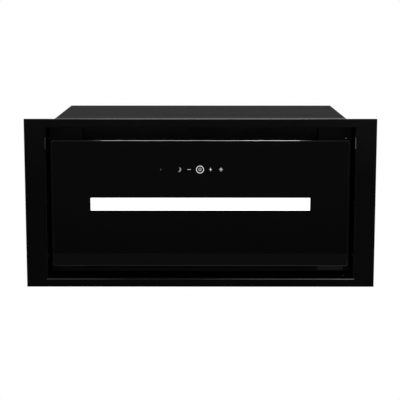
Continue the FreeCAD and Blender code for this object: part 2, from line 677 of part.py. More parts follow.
# Blower housing: a drum with a square chimney, split down the middle.
def scrolls():
    for node, sign in (("scroll_left", -1), ("scroll_right", 1)):
        half = f"{sign} * scroll_half_width / 2"
        chimney_height = "wall_top - blower_height"
        drum = rod(
            node + "_drum", half, "0", "blower_height", "scroll_radius", "scroll_half_width",
            "x")
        chimney = box(
            node + "_chimney", half, "0", "blower_height", "scroll_half_width",
            "2 * chimney_half_depth", chimney_height)
        rim = box(
            node + "_rim", f"{sign} * (scroll_half_width + chimney_flange) / 2", "0",
            "wall_top - scroll_wall", "scroll_half_width + chimney_flange",
            "2 * (chimney_half_depth + chimney_flange)", "scroll_wall")
        inner = f"{sign} * (scroll_half_width - scroll_wall - overrun) / 2"
        hollow_drum = rod(
            node + "_hollow_drum", inner, "0", "blower_height", "scroll_radius - scroll_wall",
            "scroll_half_width - scroll_wall + overrun", "x")
        hollow_chimney = box(
            node + "_hollow_chimney", inner, "0", "blower_height",
            "scroll_half_width - scroll_wall + overrun",
            "2 * (chimney_half_depth - scroll_wall)", f"{chimney_height} + overrun")
        inlet = rod(
            node + "_inlet", f"{sign} * scroll_half_width", "0", "blower_height",
            "inlet_radius", "2 * (scroll_wall + overrun)", "x")
        keep(node, cut(
            node + "_shell", fuse(node + "_outer", drum, chimney, rim), hollow_drum,
            hollow_chimney, inlet))


# Double-inlet blower wheel: a disc, a ring of blades through it and two end rings.
def blower_wheel():
    body = doc.addObject("PartDesign::Body", "wheel_body")
    disc = sketch_on(body, "wheel_disc_outline", "YZ_Plane", "0 - wheel_disc / 2")
    circle(disc, "wheel_radius")
    pad(body, disc, "wheel_disc", "wheel_disc")
    boss = sketch_on(body, "wheel_boss_outline", "YZ_Plane", "0 - wheel_disc / 2")
    circle(boss, "wheel_boss_radius")
    pad(body, boss, "wheel_boss", "wheel_boss_length")
    blade = sketch_on(body, "blade_outline", "YZ_Plane", "0 - wheel_half_width")
    rectangle(blade, "blade_thick", "blade_depth", "wheel_inner")
    one_blade = pad(body, blade, "blade", "2 * wheel_half_width")
    blades = body.newObject("PartDesign::PolarPattern", "blades")
    blades.Originals = [one_blade]
    spin_axis = next(one for one in body.Origin.OriginFeatures if one.Role == "X_Axis")
    blades.Axis = (spin_axis, [""])
    blades.Angle = 360
    blades.setExpression("Occurrences", bound("blade_count"))
    body.Tip = blades
    for side, lift in (("left", "0 - wheel_half_width"), ("right", "wheel_half_width - wheel_ring")):
        band = sketch_on(body, f"wheel_ring_{side}_outline", "YZ_Plane", lift)
        circle(band, "wheel_radius")
        circle(band, "wheel_inner")
        body.Tip = pad(body, band, f"wheel_ring_{side}", "wheel_ring")
    bore = rod(
        "wheel_bore", "0", "0", "0", "shaft_radius",
        "2 * (wheel_boss_length + overrun)", "x")
    wheel = cut("blower_wheel_bored", body, bore)
    wheel.setExpression(".Placement.Base.z", bound("blower_height"))
    keep("blower_wheel", wheel)


# Motor inside the wheel's left half, its bearings and the shaft that carries the wheel.
def motor():
    case = rod(
        "motor_case", "motor_x", "0", "blower_height", "motor_radius", "motor_length", "x")
    channel = rod(
        "motor_channel", "motor_x", "0", "blower_height", "shaft_radius + shaft_hole_gap",
        "motor_length + 2 * overrun", "x")
    ends = (("outer", "motor_end", 1), ("inner", "0 - motor_start", -1))
    seats = [
        rod(f"bearing_seat_{end}", f"{place} + {sign} * (bearing_width - overrun) / 2", "0",
            "blower_height", "bearing_radius", "bearing_width + overrun", "x")
        for end, place, sign in ends]
    keep("motor", cut("motor_bored", case, channel, *seats))
    for end, place, sign in ends:
        keep(f"bearing_{end}", ring(
            f"bearing_{end}_ring", f"{place} + {sign} * bearing_width / 2", "0",
            "blower_height", "bearing_radius", "shaft_radius + running_gap", "bearing_width",
            "x"))
    shaft_length = "motor_start + motor_length + mount_thick + wheel_boss_length / 2"
    keep("motor_shaft", rod(
        "motor_shaft_bar", f"wheel_boss_length / 2 - ({shaft_length}) / 2", "0",
        "blower_height", "shaft_radius", shaft_length, "x"))


# Spider that carries the motor over the left inlet, on four rubber mounts.
def motor_spider():
    bars = [
        box("spider_bar_level", "spider_x", "0", "blower_height - spider_width / 2",
            "spider_thick", "2 * (mount_circle + mount_radius)", "spider_width"),
        box("spider_bar_upright", "spider_x", "0",
            "blower_height - mount_circle - mount_radius", "spider_thick", "spider_width",
            "2 * (mount_circle + mount_radius)")]
    reach = "scroll_half_width + mount_thick + motor_end"
    hub = rod(
        "spider_hub", f"motor_end - ({reach}) / 2", "0", "blower_height", "spider_hub_radius",
        reach, "x")
    clearance = rod(
        "spider_hub_bore", "motor_end", "0", "blower_height", "shaft_radius + shaft_hole_gap",
        f"2 * ({reach} - spider_thick)", "x")
    keep("motor_spider", cut("motor_spider_bored", fuse("spider_cross", *bars, hub), clearance))
    mounts = []
    for name, y, z in (("front", -1, 0), ("rear", 1, 0), ("low", 0, -1), ("high", 0, 1)):
        mounts.append(rod(
            f"rubber_mount_{name}", "0 - (scroll_half_width + mount_thick / 2)",
            f"{y} * mount_circle", f"blower_height + {z} * mount_circle", "mount_radius",
            "mount_thick", "x"))
    keep("rubber_mounts", group("rubber_mounts_group", mounts))


# Duct spigot: flange, tube and the ledge that the flaps close on, drilled for the spindle.
def duct_spigot():
    body = doc.addObject("PartDesign::Body", "spigot_body")
    foot = sketch_on(body, "spigot_foot_outline", "XY_Plane", "body_height")
    circle(foot, "spigot_radius + spigot_flange")
    circle(foot, "spigot_bore")
    pad(body, foot, "spigot_foot", "spigot_flange_thick")
    tube = sketch_on(body, "spigot_tube_outline", "XY_Plane", "body_height")
    circle(tube, "spigot_radius")
    circle(tube, "spigot_bore")
    pad(body, tube, "spigot_tube", "spigot_height")
    ledge = sketch_on(
        body, "ledge_outline", "XY_Plane", "spindle_z - flap_thick / 2 - rest_gap - ledge_thick")
    circle(ledge, "spigot_radius")
    circle(ledge, "spigot_bore - ledge_width")
    body.Tip = pad(body, ledge, "flap_ledge", "ledge_thick")
    hole = rod(
        "spindle_hole", "0", "0", "spindle_z", "spindle_radius",
        "2 * (spigot_radius + overrun)", "x")
    relief = rod(
        "knuckle_relief", "0", "0", "spindle_z", "knuckle_radius + rest_gap",
        "2 * spigot_bore", "x")
    keep("duct_spigot", cut("duct_spigot_drilled", body, hole, relief, *screw_shanks("foot")))
    screws = []
    for index, (shank, head) in enumerate(zip(screw_shanks("screw"), screw_heads())):
        screws.append(fuse(f"spigot_screw_{index}", shank, head))
    keep("spigot_screws", group("spigot_screws_group", screws))
    keep("damper_spindle", rod(
        "damper_spindle_bar", "0", "0", "spindle_z", "spindle_radius",
        "2 * spigot_radius - spigot_wall", "x"))


# The four screw places round the spigot's foot, on its diagonals.
def screw_places():
    reach = "(spigot_radius + spigot_flange / 2) * sqrt(2) / 2"
    return [(f"{x} * {reach}", f"{y} * {reach}") for x in (-1, 1) for y in (-1, 1)]


def screw_shanks(owner):
    return [
        rod(f"{owner}_shank_{index}", x, y, "body_height", "screw_radius",
            "spigot_flange_thick")
        for index, (x, y) in enumerate(screw_places())]


def screw_heads():
    return [
        rod(f"spigot_screw_head_{index}", x, y, "body_height + spigot_flange_thick",
            "screw_head_radius", "screw_head")
        for index, (x, y) in enumerate(screw_places())]


# Non-return flaps: half discs whose knuckles take turns along the spindle.
def damper_flaps():
    share = "2 * flap_radius / 5"
    for node, sign, turns in (("flap_front", -1, (-2, 0, 2)), ("flap_rear", 1, (-1, 1))):
        disc = rod(
            node + "_disc", "0", "0", "spindle_z - flap_thick / 2", "flap_radius", "flap_thick")
        side = box(
            node + "_side", "0", f"{sign} * (knuckle_radius + knuckle_gap + flap_radius / 2)",
            "spindle_z - flap_thick / 2", "2 * flap_radius", "flap_radius", "flap_thick")
        half = common(node + "_half", disc, side)
        pieces = [half]
        for turn in turns:
            name = f"{node}_knuckle_{turn + 2}"
            length = f"{share} - 2 * knuckle_gap - 2 * flap_gap"
            pieces.append(rod(
                name, f"{turn} * {share}", "0", "spindle_z", "knuckle_radius", length, "x"))
            pieces.append(box(
                name + "_web", f"{turn} * {share}",
                f"{sign} * (knuckle_radius + 2 * knuckle_gap) / 2", "spindle_z - flap_thick / 2",
                length, "knuckle_radius + 2 * knuckle_gap", "flap_thick"))
        bore = rod(
            node + "_bore", "0", "0", "spindle_z", "spindle_radius + running_gap",
            "2 * (flap_radius + overrun)", "x")
        keep(node, cut(node + "_bored", fuse(node + "_joined", *pieces), bore))


# Control box on the cover: case, lid, board with its parts, terminals and the cord's gland.
def control_box():
    case = box(
        "case_block", "box_across", "0", "body_height", "box_width", "box_depth",
        "box_height - lid_thick")
    hollow = box(
        "case_hollow", "box_across", "0", "body_height + box_wall", "box_width - 2 * box_wall",
        "box_depth - 2 * box_wall", "box_height")
    gland_hole = rod(
        "case_gland_hole", "box_across", "box_depth / 2 - box_wall / 2", "gland_z",
        "gland_thread", "box_wall + 2 * overrun", "y")
    posts = []
    for index, (x, y) in enumerate(((-1, -1), (1, -1), (-1, 1), (1, 1))):
        posts.append(rod(
            f"case_post_{index}", f"box_across + {x} * (board_width / 2 - board_post_inset)",
            f"{y} * (board_depth / 2 - board_post_inset)", "body_height + box_wall",
            "post_radius", "board_lift"))
    shell = cut("case_shell", case, hollow, gland_hole)
    keep("control_box", fuse("control_box_posted", shell, *posts))
    keep("control_lid", box(
        "control_lid_plate", "box_across", "0", "box_top - lid_thick", "box_width",
        "box_depth", "lid_thick"))
    heads = []
    for index, (x, y) in enumerate(((-1, -1), (1, -1), (-1, 1), (1, 1))):
        heads.append(rod(
            f"lid_screw_{index}", f"box_across + {x} * (box_width / 2 - box_screw_inset)",
            f"{y} * (box_depth / 2 - box_screw_inset)", "box_top", "screw_head_radius",
            "screw_head"))
    keep("lid_screws", group("lid_screws_group", heads))
    keep("control_board", box(
        "control_board_plate", "box_across", "0", "board_foot", "board_width", "board_depth",
        "board_thick"))
    relays = [
        box(f"relay_{index}", f"box_across - board_width / 2 + relay_width * ({index} * 3 / 2 + 1)",
            "0 - board_depth / 4", "board_top", "relay_width", "relay_depth", "relay_height")
        for index in range(3)]
    keep("board_relays", group("board_relays_group", relays))
    keep("terminal_block", box(
        "terminal_block_body", "box_across",
        "board_depth / 2 - terminal_depth", "board_top", "terminal_width", "terminal_depth",
        "terminal_height"))
    keep("run_capacitor", rod(
        "run_capacitor_can", "box_across", "0 + capacitor_radius / 2",
        "board_top + capacitor_radius", "capacitor_radius", "capacitor_length", "x"))


# Gland for the mains cord: a thread through the case's rear wall and a nut outside it.
def cable_gland():
    thread = rod(
        "gland_thread_bar", "box_across", "box_depth / 2 - box_wall", "gland_z", "gland_thread",
        "2 * box_wall", "y")
    nut = rod(
        "gland_nut", "box_across", "box_depth / 2 + gland_length / 2", "gland_z",
        "gland_radius", "gland_length", "y")
    bore = rod(
        "gland_bore_hole", "box_across", "box_depth / 2", "gland_z", "gland_bore",
        "2 * (gland_length + overrun)", "y")
    keep("cable_gland", cut("cable_gland_bored", fuse("gland_solid", thread, nut), bore))


trim_frame()
end_walls()
side_walls()
frame_rivets()
wall_screws()
top_cover()
side_clips()
intake_tray()
glass_pane()
light_diffuser()
panel_pan()
light_unit()
touch_board()
hinges()
catches()
centring_studs()
filter_frame()
filter_layers()
filter_latch()
scrolls()
blower_wheel()
motor()
motor_spider()
duct_spigot()
damper_flaps()
control_box()
cable_gland()

doc.recompute()
for thing in doc.Objects:
    if "Invalid" in thing.State or "Error" in thing.State:
        raise RuntimeError(f"{thing.Name} did not build")
for part in parts:
    if part.Shape.isNull() or not part.Shape.isValid():
        raise RuntimeError(f"{part.Label} is not a valid solid")
    part.Shape.exportStep(f"parts/{part.Label}.step")
    print(part.Label, len(part.Shape.Solids), round(part.Shape.Volume))
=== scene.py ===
import math
import bpy
import bmesh
from mathutils import Matrix, Vector


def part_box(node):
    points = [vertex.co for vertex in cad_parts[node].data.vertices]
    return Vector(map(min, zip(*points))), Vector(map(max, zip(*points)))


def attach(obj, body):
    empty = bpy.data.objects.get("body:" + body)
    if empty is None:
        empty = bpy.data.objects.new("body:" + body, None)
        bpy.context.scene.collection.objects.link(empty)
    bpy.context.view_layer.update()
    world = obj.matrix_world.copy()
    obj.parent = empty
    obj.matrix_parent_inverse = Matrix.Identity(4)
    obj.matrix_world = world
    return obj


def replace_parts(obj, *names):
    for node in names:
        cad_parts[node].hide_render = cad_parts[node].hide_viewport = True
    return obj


# A cooker hood built into a cabinet, seen from below and from the cook's side.
# x runs to the right of the picture, -y to its top, z away from the camera.
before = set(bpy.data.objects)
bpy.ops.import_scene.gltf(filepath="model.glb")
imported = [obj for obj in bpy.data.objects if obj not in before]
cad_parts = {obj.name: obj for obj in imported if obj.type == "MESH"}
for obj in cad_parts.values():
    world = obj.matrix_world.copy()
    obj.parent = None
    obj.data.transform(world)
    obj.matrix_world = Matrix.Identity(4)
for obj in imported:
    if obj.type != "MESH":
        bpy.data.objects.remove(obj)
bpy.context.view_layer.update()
scene = bpy.context.scene
scene.view_settings.view_transform = "Standard"
mm = 0.001
print("frame loaded")


# Lowest and highest corner of a node at rest, in mm
def boxOf(name):
    return [tuple(value / mm for value in corner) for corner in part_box(name)]


sideX, rearY, coverZ = boxOf("top_cover")[1]  # outer faces of the side walls, rear wall and cover
flangeX, flangeY = boxOf("trim_frame")[1][:2]
sheet = 1.0  # thickness of the walls' steel
sunk = 0.2  # how far a new piece reaches into what it sits on

# Camera, as fitted to the corners of the flange and to the far edge of the front wall
cameraValues = {
    "place": (0.0029, -0.3413, -1.7401), "pitch": 7.574, "yaw": -0.116, "focal": 92.81,
    "shift": -0.15,
}


def makeCamera():
    lens = bpy.data.cameras.new("camera")
    lens.sensor_width = 36
    lens.lens = cameraValues["focal"]
    lens.shift_y = cameraValues["shift"]
    lens.clip_start = 0.01
    lens.clip_end = 60
    camera = bpy.data.objects.new("camera", lens)
    camera.location = cameraValues["place"]
    tilt, turn = 180 - cameraValues["pitch"], cameraValues["yaw"]
    camera.rotation_euler = (math.radians(tilt), math.radians(turn), 0)
    scene.collection.objects.link(camera)
    scene.camera = camera


makeCamera()
print("camera placed")


# Small helpers for node trees
def addNode(tree, kind, inputs=None, **settings):
    node = tree.nodes.new("ShaderNode" + kind)
    for key, value in settings.items():
        setattr(node, key, value)
    for key, value in (inputs or {}).items():
        socket = node.inputs[key]
        if isinstance(value, bpy.types.NodeSocket):
            tree.links.new(value, socket)
        else:
            socket.default_value = value
    return node


def compute(tree, operation, first, second=0.0):
    return addNode(tree, "Math", {0: first, 1: second}, operation=operation).outputs[0]


def times(tree, first, second):
    return compute(tree, "MULTIPLY", first, second)


def mapRange(tree, value, low, high, lowOut=0.0, highOut=1.0):
    return addNode(tree, "MapRange", {
        "Value": value, "From Min": low, "From Max": high, "To Min": lowOut, "To Max": highOut,
    }).outputs[0]


def grey(value, warm=0.0):
    return (value * (1 + warm), value, value * (1 - warm), 1)


def blendColour(tree, amount, first, second, how="MIX"):
    node = addNode(
        tree, "Mix", {"Factor": amount, 6: first, 7: second}, data_type="RGBA", blend_type=how)
    return node.outputs[2]


def tinted(tree, tone, tint):
    return blendColour(tree, 1.0, tone, tint, "MULTIPLY")


def noise(tree, at, scale, detail=2.0, **others):
    inputs = {"Vector": at, "Scale": scale, "Detail": detail}
    return addNode(tree, "TexNoise", {**inputs, **others}).outputs[0]


def cells(tree, at, scale):
    return addNode(tree, "TexVoronoi", {"Vector": at, "Scale": scale}).outputs["Distance"]


def objectPlace(tree):
    return tree.nodes.new("ShaderNodeTexCoord").outputs["Object"]


def stretched(tree, at, factors):
    return addNode(tree, "VectorMath", {0: at, 1: factors}, operation="MULTIPLY").outputs[0]


def absolute(tree, vector):
    return addNode(tree, "VectorMath", {0: vector}, operation="ABSOLUTE").outputs[0]


def axesOf(tree, vector):
    return addNode(tree, "SeparateXYZ", {"Vector": vector}).outputs


# Links several values into one node, such as a shader or a group's output
def feed(tree, node, values):
    for label, value in values.items():
        tree.links.new(value, node.inputs[label])
    return tree


maskOut = {"Mask": "Float"}
grainOut = {"Color": "Color", "Roughness": "Float", "Height": "Float"}


def newGroup(name, inputs, outputs):
    tree = bpy.data.node_groups.new(name, "ShaderNodeTree")
    for way, sockets in (("INPUT", inputs), ("OUTPUT", outputs)):
        for label, kind in sockets.items():
            tree.interface.new_socket(label, in_out=way, socket_type="NodeSocket" + kind)
    return tree, tree.nodes.new("NodeGroupInput").outputs, tree.nodes.new("NodeGroupOutput")


# Light rubbed tone where two faces meet
def makeEdgeRub():
    tree, given, out = newGroup("edgeRub", {"Width": "Float", "Amount": "Float"}, maskOut)
    soft = addNode(tree, "Bevel", {"Radius": given["Width"]}, samples=4).outputs[0]
    hard = tree.nodes.new("ShaderNodeNewGeometry").outputs["True Normal"]
    meet = addNode(tree, "VectorMath", {0: soft, 1: hard}, operation="DOT_PRODUCT").outputs["Value"]
    edge = mapRange(tree, meet, 0.995, 0.86)
    broken = mapRange(tree, noise(tree, objectPlace(tree), scale=160.0, detail=3.0), 0.35, 0.7)
    return feed(tree, out, {"Mask": times(tree, times(tree, edge, broken), given["Amount"])})


# Where a face turns away from the three main directions, so on rounded and ground edges. Facing
# is how far it has to look to the front, and below -1 lets every edge through.
def makeRoundEdge():
    tree, given, out = newGroup("roundEdge", {"Amount": "Float", "Facing": "Float"}, maskOut)
    normal = tree.nodes.new("ShaderNodeNewGeometry").outputs["True Normal"]
    toFront = times(tree, axesOf(tree, normal)[1], -1.0)
    turned = compute(tree, "GREATER_THAN", toFront, given["Facing"])
    x, y, z = axesOf(tree, absolute(tree, normal))
    most = compute(tree, "MAXIMUM", compute(tree, "MAXIMUM", x, y), z)
    mask = times(tree, mapRange(tree, most, 0.998, 0.985), given["Amount"])
    return feed(tree, out, {"Mask": times(tree, mask, turned)})


# The inner faces of the chassis box, where a darker tone paints shade
def makeInnerShade():
    tree, given, out = newGroup("innerShade", {"Half X": "Float", "Half Y": "Float"}, maskOut)
    x, y = axesOf(tree, absolute(tree, objectPlace(tree)))[:2]
    across = compute(tree, "LESS_THAN", x, given["Half X"])
    along = compute(tree, "LESS_THAN", y, given["Half Y"])
    return feed(tree, out, {"Mask": times(tree, across, along)})


# Powder coat: fine orange peel, a faint cloud in its tone, a few paler specks
def makeCoatGrain():
    tree, given, out = newGroup("coatGrain", {
        "Tone": "Color", "Edge Tone": "Color", "Edge": "Float", "Dull": "Float",
        "Stretch": "Vector"}, grainOut)
    at = objectPlace(tree)
    cloud = noise(tree, stretched(tree, at, given["Stretch"]), scale=9.0, detail=4.0)
    specks = mapRange(tree, cells(tree, at, scale=420.0), 0.16, 0.06, 0, 0.35)
    pale = tinted(tree, given["Tone"], grey(1.22))
    tone = blendColour(tree, mapRange(tree, cloud, 0.3, 0.7), given["Tone"], pale)
    tone = blendColour(tree, specks, tone, pale)
    sheen = mapRange(tree, cloud, 0.3, 0.7, -0.05, 0.05)
    return feed(tree, out, {
        "Color": blendColour(tree, given["Edge"], tone, given["Edge Tone"]),
        "Roughness": compute(tree, "ADD", given["Dull"], sheen),
        "Height": noise(tree, at, scale=1100.0, Roughness=0.6)})


# Zinc plating: flat crystals that differ a little in tone and shine
def makeSpangle():
    tree, given, out = newGroup(
        "spangle", {"Tone": "Color", "Size": "Float", "Dull": "Float"}, grainOut)
    at = objectPlace(tree)
    bent = addNode(tree, "TexNoise", {"Vector": at, "Scale": 90.0, "Detail": 2.0}).outputs["Color"]
    moved = addNode(tree, "Mix", {"Factor": 0.0015, 4: at, 5: bent}, data_type="VECTOR").outputs[1]
    crystals = addNode(tree, "TexVoronoi", {"Vector": moved, "Scale": given["Size"]})
    grain = addNode(tree, "SeparateColor", {"Color": crystals.outputs["Color"]}).outputs[0]
    fine = noise(tree, at, scale=1500.0, detail=3.0)
    dark = tinted(tree, given["Tone"], (0.84, 0.85, 0.87, 1))
    shine = mapRange(tree, grain, 0, 1, -0.07, 0.1)
    return feed(tree, out, {
        "Color": blendColour(tree, grain, dark, given["Tone"]),
        "Roughness": compute(tree, "ADD", given["Dull"], shine),
        "Height": compute(tree, "ADD", fine, times(tree, grain, 0.6))})


# Metal with drawn or turned lines; Lines is the pattern's scale along each axis
def makeDrawnLines():
    tree, given, out = newGroup(
        "drawnLines", {"Tone": "Color", "Lines": "Vector", "Dull": "Float"}, grainOut)
    at = objectPlace(tree)
    lines = noise(tree, stretched(tree, at, given["Lines"]), scale=1.0, detail=3.0)
    cloud = noise(tree, at, scale=30.0, detail=4.0)
    both = times(tree, compute(tree, "ADD", lines, cloud), 0.5)
    dark = tinted(tree, given["Tone"], (0.7, 0.7, 0.72, 1))
    shine = mapRange(tree, both, 0.3, 0.7, 0.08, -0.08)
    return feed(tree, out, {
        "Color": blendColour(tree, mapRange(tree, both, 0.35, 0.6), dark, given["Tone"]),
        "Roughness": compute(tree, "ADD", given["Dull"], shine),
        "Height": lines})


# Moulded plastic: spark-eroded grain with faint flow marks
def makeMouldGrain():
    tree, given, out = newGroup(
        "mouldGrain", {"Tone": "Color", "Grain": "Float", "Dull": "Float"}, grainOut)
    at = objectPlace(tree)
    flow = noise(tree, at, scale=14.0, detail=3.0, Distortion=1.5)
    pale = tinted(tree, given["Tone"], grey(1.35))
    shine = mapRange(tree, flow, 0.3, 0.7, -0.06, 0.06)
    return feed(tree, out, {
        "Color": blendColour(tree, mapRange(tree, flow, 0.35, 0.65), given["Tone"], pale),
        "Roughness": compute(tree, "ADD", given["Dull"], shine),
        "Height": cells(tree, at, given["Grain"])})


edgeRub, roundEdge, innerShade = makeEdgeRub(), makeRoundEdge(), makeInnerShade()
coatGrain, spangle = makeCoatGrain(), makeSpangle()
drawnLines, mouldGrain = makeDrawnLines(), makeMouldGrain()


def useGroup(tree, group, inputs):
    return addNode(tree, "Group", inputs, node_tree=group).outputs


def openMaterial(name, sockets=None):
    material = bpy.data.materials.new(name)
    material.use_nodes = True
    tree = material.node_tree
    shader = tree.nodes["Principled BSDF"]
    for key, value in (sockets or {}).items():
        shader.inputs[key].default_value = value
    return material, tree, shader


def bump(tree, height, relief, depth):
    node = addNode(tree, "Bump", {"Height": height, "Strength": relief, "Distance": depth})
    return node.outputs[0]


def joinGrain(tree, shader, group, inputs, relief, depth):
    grain = useGroup(tree, group, inputs)
    feed(tree, shader, {
        "Base Color": grain["Color"], "Roughness": grain["Roughness"],
        "Normal": bump(tree, grain["Height"], relief, depth)})


# What all pieces of one finish share: the strength and depth of the bump, and the rubbed edges
finishValues = {
    "coat": (0.35, 0.05 * mm), "zinc": (0.06, 0.04 * mm), "metal": (0.08, 0.03 * mm),
    "plasticDepth": 0.04 * mm, "rub": 0.4, "rubWidth": 0.7 * mm,
}


def rubbedEdge(tree, amount):
    return useGroup(
        tree, edgeRub, {"Width": finishValues["rubWidth"], "Amount": amount})["Mask"]


def powderCoat(name, tone, dull, gloss, edge=0.05, stretch=(1, 1, 1), inner=None):
    material, tree, shader = openMaterial(name, {"Specular IOR Level": gloss})
    colour = grey(tone, -0.02)
    # inner darkens the inner faces of the walls, a painted shade
    if inner:
        inside = useGroup(tree, innerShade, {
            "Half X": (sideX - sheet / 2) * mm, "Half Y": (rearY - sheet / 2) * mm})["Mask"]
        colour = blendColour(tree, inside, colour, grey(inner))
    joinGrain(tree, shader, coatGrain, {
        "Tone": colour, "Edge Tone": grey(edge), "Edge": rubbedEdge(tree, finishValues["rub"]),
        "Dull": dull, "Stretch": stretch}, *finishValues["coat"])
    return material


def grained(name, sockets, group, inputs, relief, depth):
    material, tree, shader = openMaterial(name, sockets)
    joinGrain(tree, shader, group, inputs, relief, depth)
    return material


def zincPlate(name, tone, dull=0.35, size=260.0):
    return grained(name, {"Metallic": 1.0}, spangle, {
        "Tone": grey(tone, -0.015), "Size": size, "Dull": dull}, *finishValues["zinc"])


def drawnMetal(name, tone, dull=0.3, lines=(40, 1500, 1500)):
    return grained(name, {"Metallic": 1.0}, drawnLines, {
        "Tone": grey(tone), "Lines": lines, "Dull": dull}, *finishValues["metal"])


def mouldedPlastic(name, tone, dull=0.55, grain=1300.0, gloss=0.35, relief=0.3):
    return grained(name, {"Specular IOR Level": gloss}, mouldGrain, {
        "Tone": grey(tone), "Grain": grain, "Dull": dull}, relief, finishValues["plasticDepth"])


# The trim's coat: shinier round its folded edges, with worn edges and a painted highlight along the
# rear lip of the opening.
# Painted light makes it lighter towards the front, most so on the right, and its front edge shines
# most.
trimValues = {
    "tone": (0.0007, 0.0024), "toneFrom": 0.3, "right": 1.7, "rightFrom": (0.6, 1.1),
    "gloss": 0.03, "dull": 0.42, "bead": (0.2, 1.0), "beadDull": 0.15, "frontEdge": (2, 1),
    "fade": 15, "rub": 0.3, "lipDepth": 1.6,
    # Edge tones along x: painted highlight on the rear lip, lightest on the right, also used for
    # the worn edges
    "rubAndHighlightTones": ((-1.0, 0.07), (-0.7, 0.05), (-0.45, 0.006), (0.0, 0.012), (0.4, 0.09), (0.7, 0.14),
               (1.0, 0.24)),  # share of the way to a side wall, tone there
}


def trimCoat(name):
    values = trimValues
    material, tree, shader = openMaterial(name, {
        "Specular IOR Level": values["gloss"], "Coat Roughness": values["beadDull"]})
    x, y = axesOf(tree, objectPlace(tree))[:2]
    bead = useGroup(tree, roundEdge, {"Amount": 1.0, "Facing": 0.1})["Mask"]
    start, full = values["frontEdge"]
    atFront = mapRange(tree, y, -(flangeY - start) * mm, -(flangeY - full) * mm)
    middle = mapRange(
        tree, compute(tree, "ABSOLUTE", x), sideX * mm, (sideX - values["fade"]) * mm)
    shine = mapRange(tree, times(tree, atFront, middle), 0, 1, *values["bead"])
    feed(tree, shader, {"Coat Weight": times(tree, bead, shine)})
    atLip = compute(tree, "COMPARE", y, rearY * mm)
    atLip.node.inputs[2].default_value = values["lipDepth"] * mm
    # Painted highlight: the edge tone changes along x, as the lamps fall on the rear lip and the
    # worn edges
    ramp = addNode(tree, "ValToRGB", {0: mapRange(tree, x, -sideX * mm, sideX * mm)})
    stops = ramp.color_ramp.elements
    for index, (place, tone) in enumerate(values["rubAndHighlightTones"]):
        stop = stops[index] if index < 2 else stops.new((place + 1) / 2)
        stop.position, stop.color = (place + 1) / 2, grey(tone)
    edge = compute(
        tree, "MAXIMUM", rubbedEdge(tree, values["rub"]), times(tree, bead, atLip))
    # Painted light: the base tone grows lighter towards the front and on the right
    frontLitTone = mapRange(tree, y, -flangeY * values["toneFrom"] * mm, -flangeY * mm, *values["tone"])
    start, full = values["rightFrom"]
    rightLitShare = mapRange(tree, x, sideX * start * mm, sideX * full * mm, 1.0, values["right"])
    joinGrain(tree, shader, coatGrain, {
        "Tone": times(tree, frontLitTone, rightLitShare), "Edge Tone": ramp.outputs[0], "Edge": edge,
        "Dull": values["dull"], "Stretch": (1, 1, 1)}, *finishValues["coat"])
    return material


# Black glass: its face is nearly black, with painted shade that darkens it towards the paler band
# at the rear. Its ground edge catches the lamp, more in front and, towards its right end, along the
# rear.
glassValues = {
    "tone": 0.0011, "rearShadeTone": 0.0002, "darkFrom": -0.02, "gloss": 0.031,
    "band": (0.0882, 0.1083), "bandSoft": (0.002, 0.001), "bandTone": 0.0024,
    "edge": (0.1, 0.108), "edgeDull": 0.05, "ends": 0.25, "front": (0.16, 0.46),
    "rear": (0.35, 0.8),
}


def blackGlass(name):
    values = glassValues
    material, tree, shader = openMaterial(name, {
        "Specular IOR Level": values["gloss"], "Coat Roughness": values["edgeDull"]})
    at = objectPlace(tree)
    x, y = axesOf(tree, at)[:2]
    (low, high), (lowSoft, highSoft) = values["band"], values["bandSoft"]
    inBand = times(
        tree, mapRange(tree, y, low - lowSoft, low), mapRange(tree, y, high, high - highSoft))
    smear = noise(tree, at, scale=12.0, detail=5.0)
    tone = blendColour(tree, mapRange(tree, smear, 0.3, 0.7), grey(values["tone"]),
                       grey(values["tone"] * 1.3, -0.05))
    # Painted shade: the face darkens from darkFrom to the band at the rear
    rearShade = mapRange(tree, y, values["darkFrom"], low)
    tone = blendColour(tree, rearShade, tone, grey(values["rearShadeTone"]))
    start, full = values["edge"]
    atFront = mapRange(tree, y, -start, -full, *values["front"])
    atRear = times(tree, mapRange(tree, y, start, full), mapRange(
        tree, x, -values["ends"], values["ends"], *values["rear"]))
    ground = useGroup(tree, roundEdge, {
        "Amount": compute(tree, "ADD", atFront, atRear), "Facing": -1.5})["Mask"]
    feed(tree, shader, {
        "Base Color": blendColour(tree, inBand, tone, grey(values["bandTone"])),
        "Roughness": mapRange(tree, smear, 0.3, 0.8, 0.03, 0.08),
        "Coat Weight": ground})
    return material


# Opal strip, lit evenly from behind
opalValues = {
    "dull": 0.45, "tone": (0.86, 0.94), "glow": (0.96, 1.0), "strength": 1.25,
    "bump": (0.15, 0.03 * mm),
}


def opalStrip(name):
    values = opalValues
    material, tree, shader = openMaterial(name, {
        "Roughness": values["dull"], "Emission Strength": values["strength"]})
    fine = noise(tree, objectPlace(tree), scale=700.0)
    cloud = mapRange(tree, fine, 0.3, 0.7)
    feed(tree, shader, {
        "Base Color": blendColour(tree, cloud, *[grey(tone) for tone in values["tone"]]),
        "Emission Color": blendColour(tree, cloud, *[grey(tone) for tone in values["glow"]]),
        "Normal": bump(tree, fine, *values["bump"])})
    return material


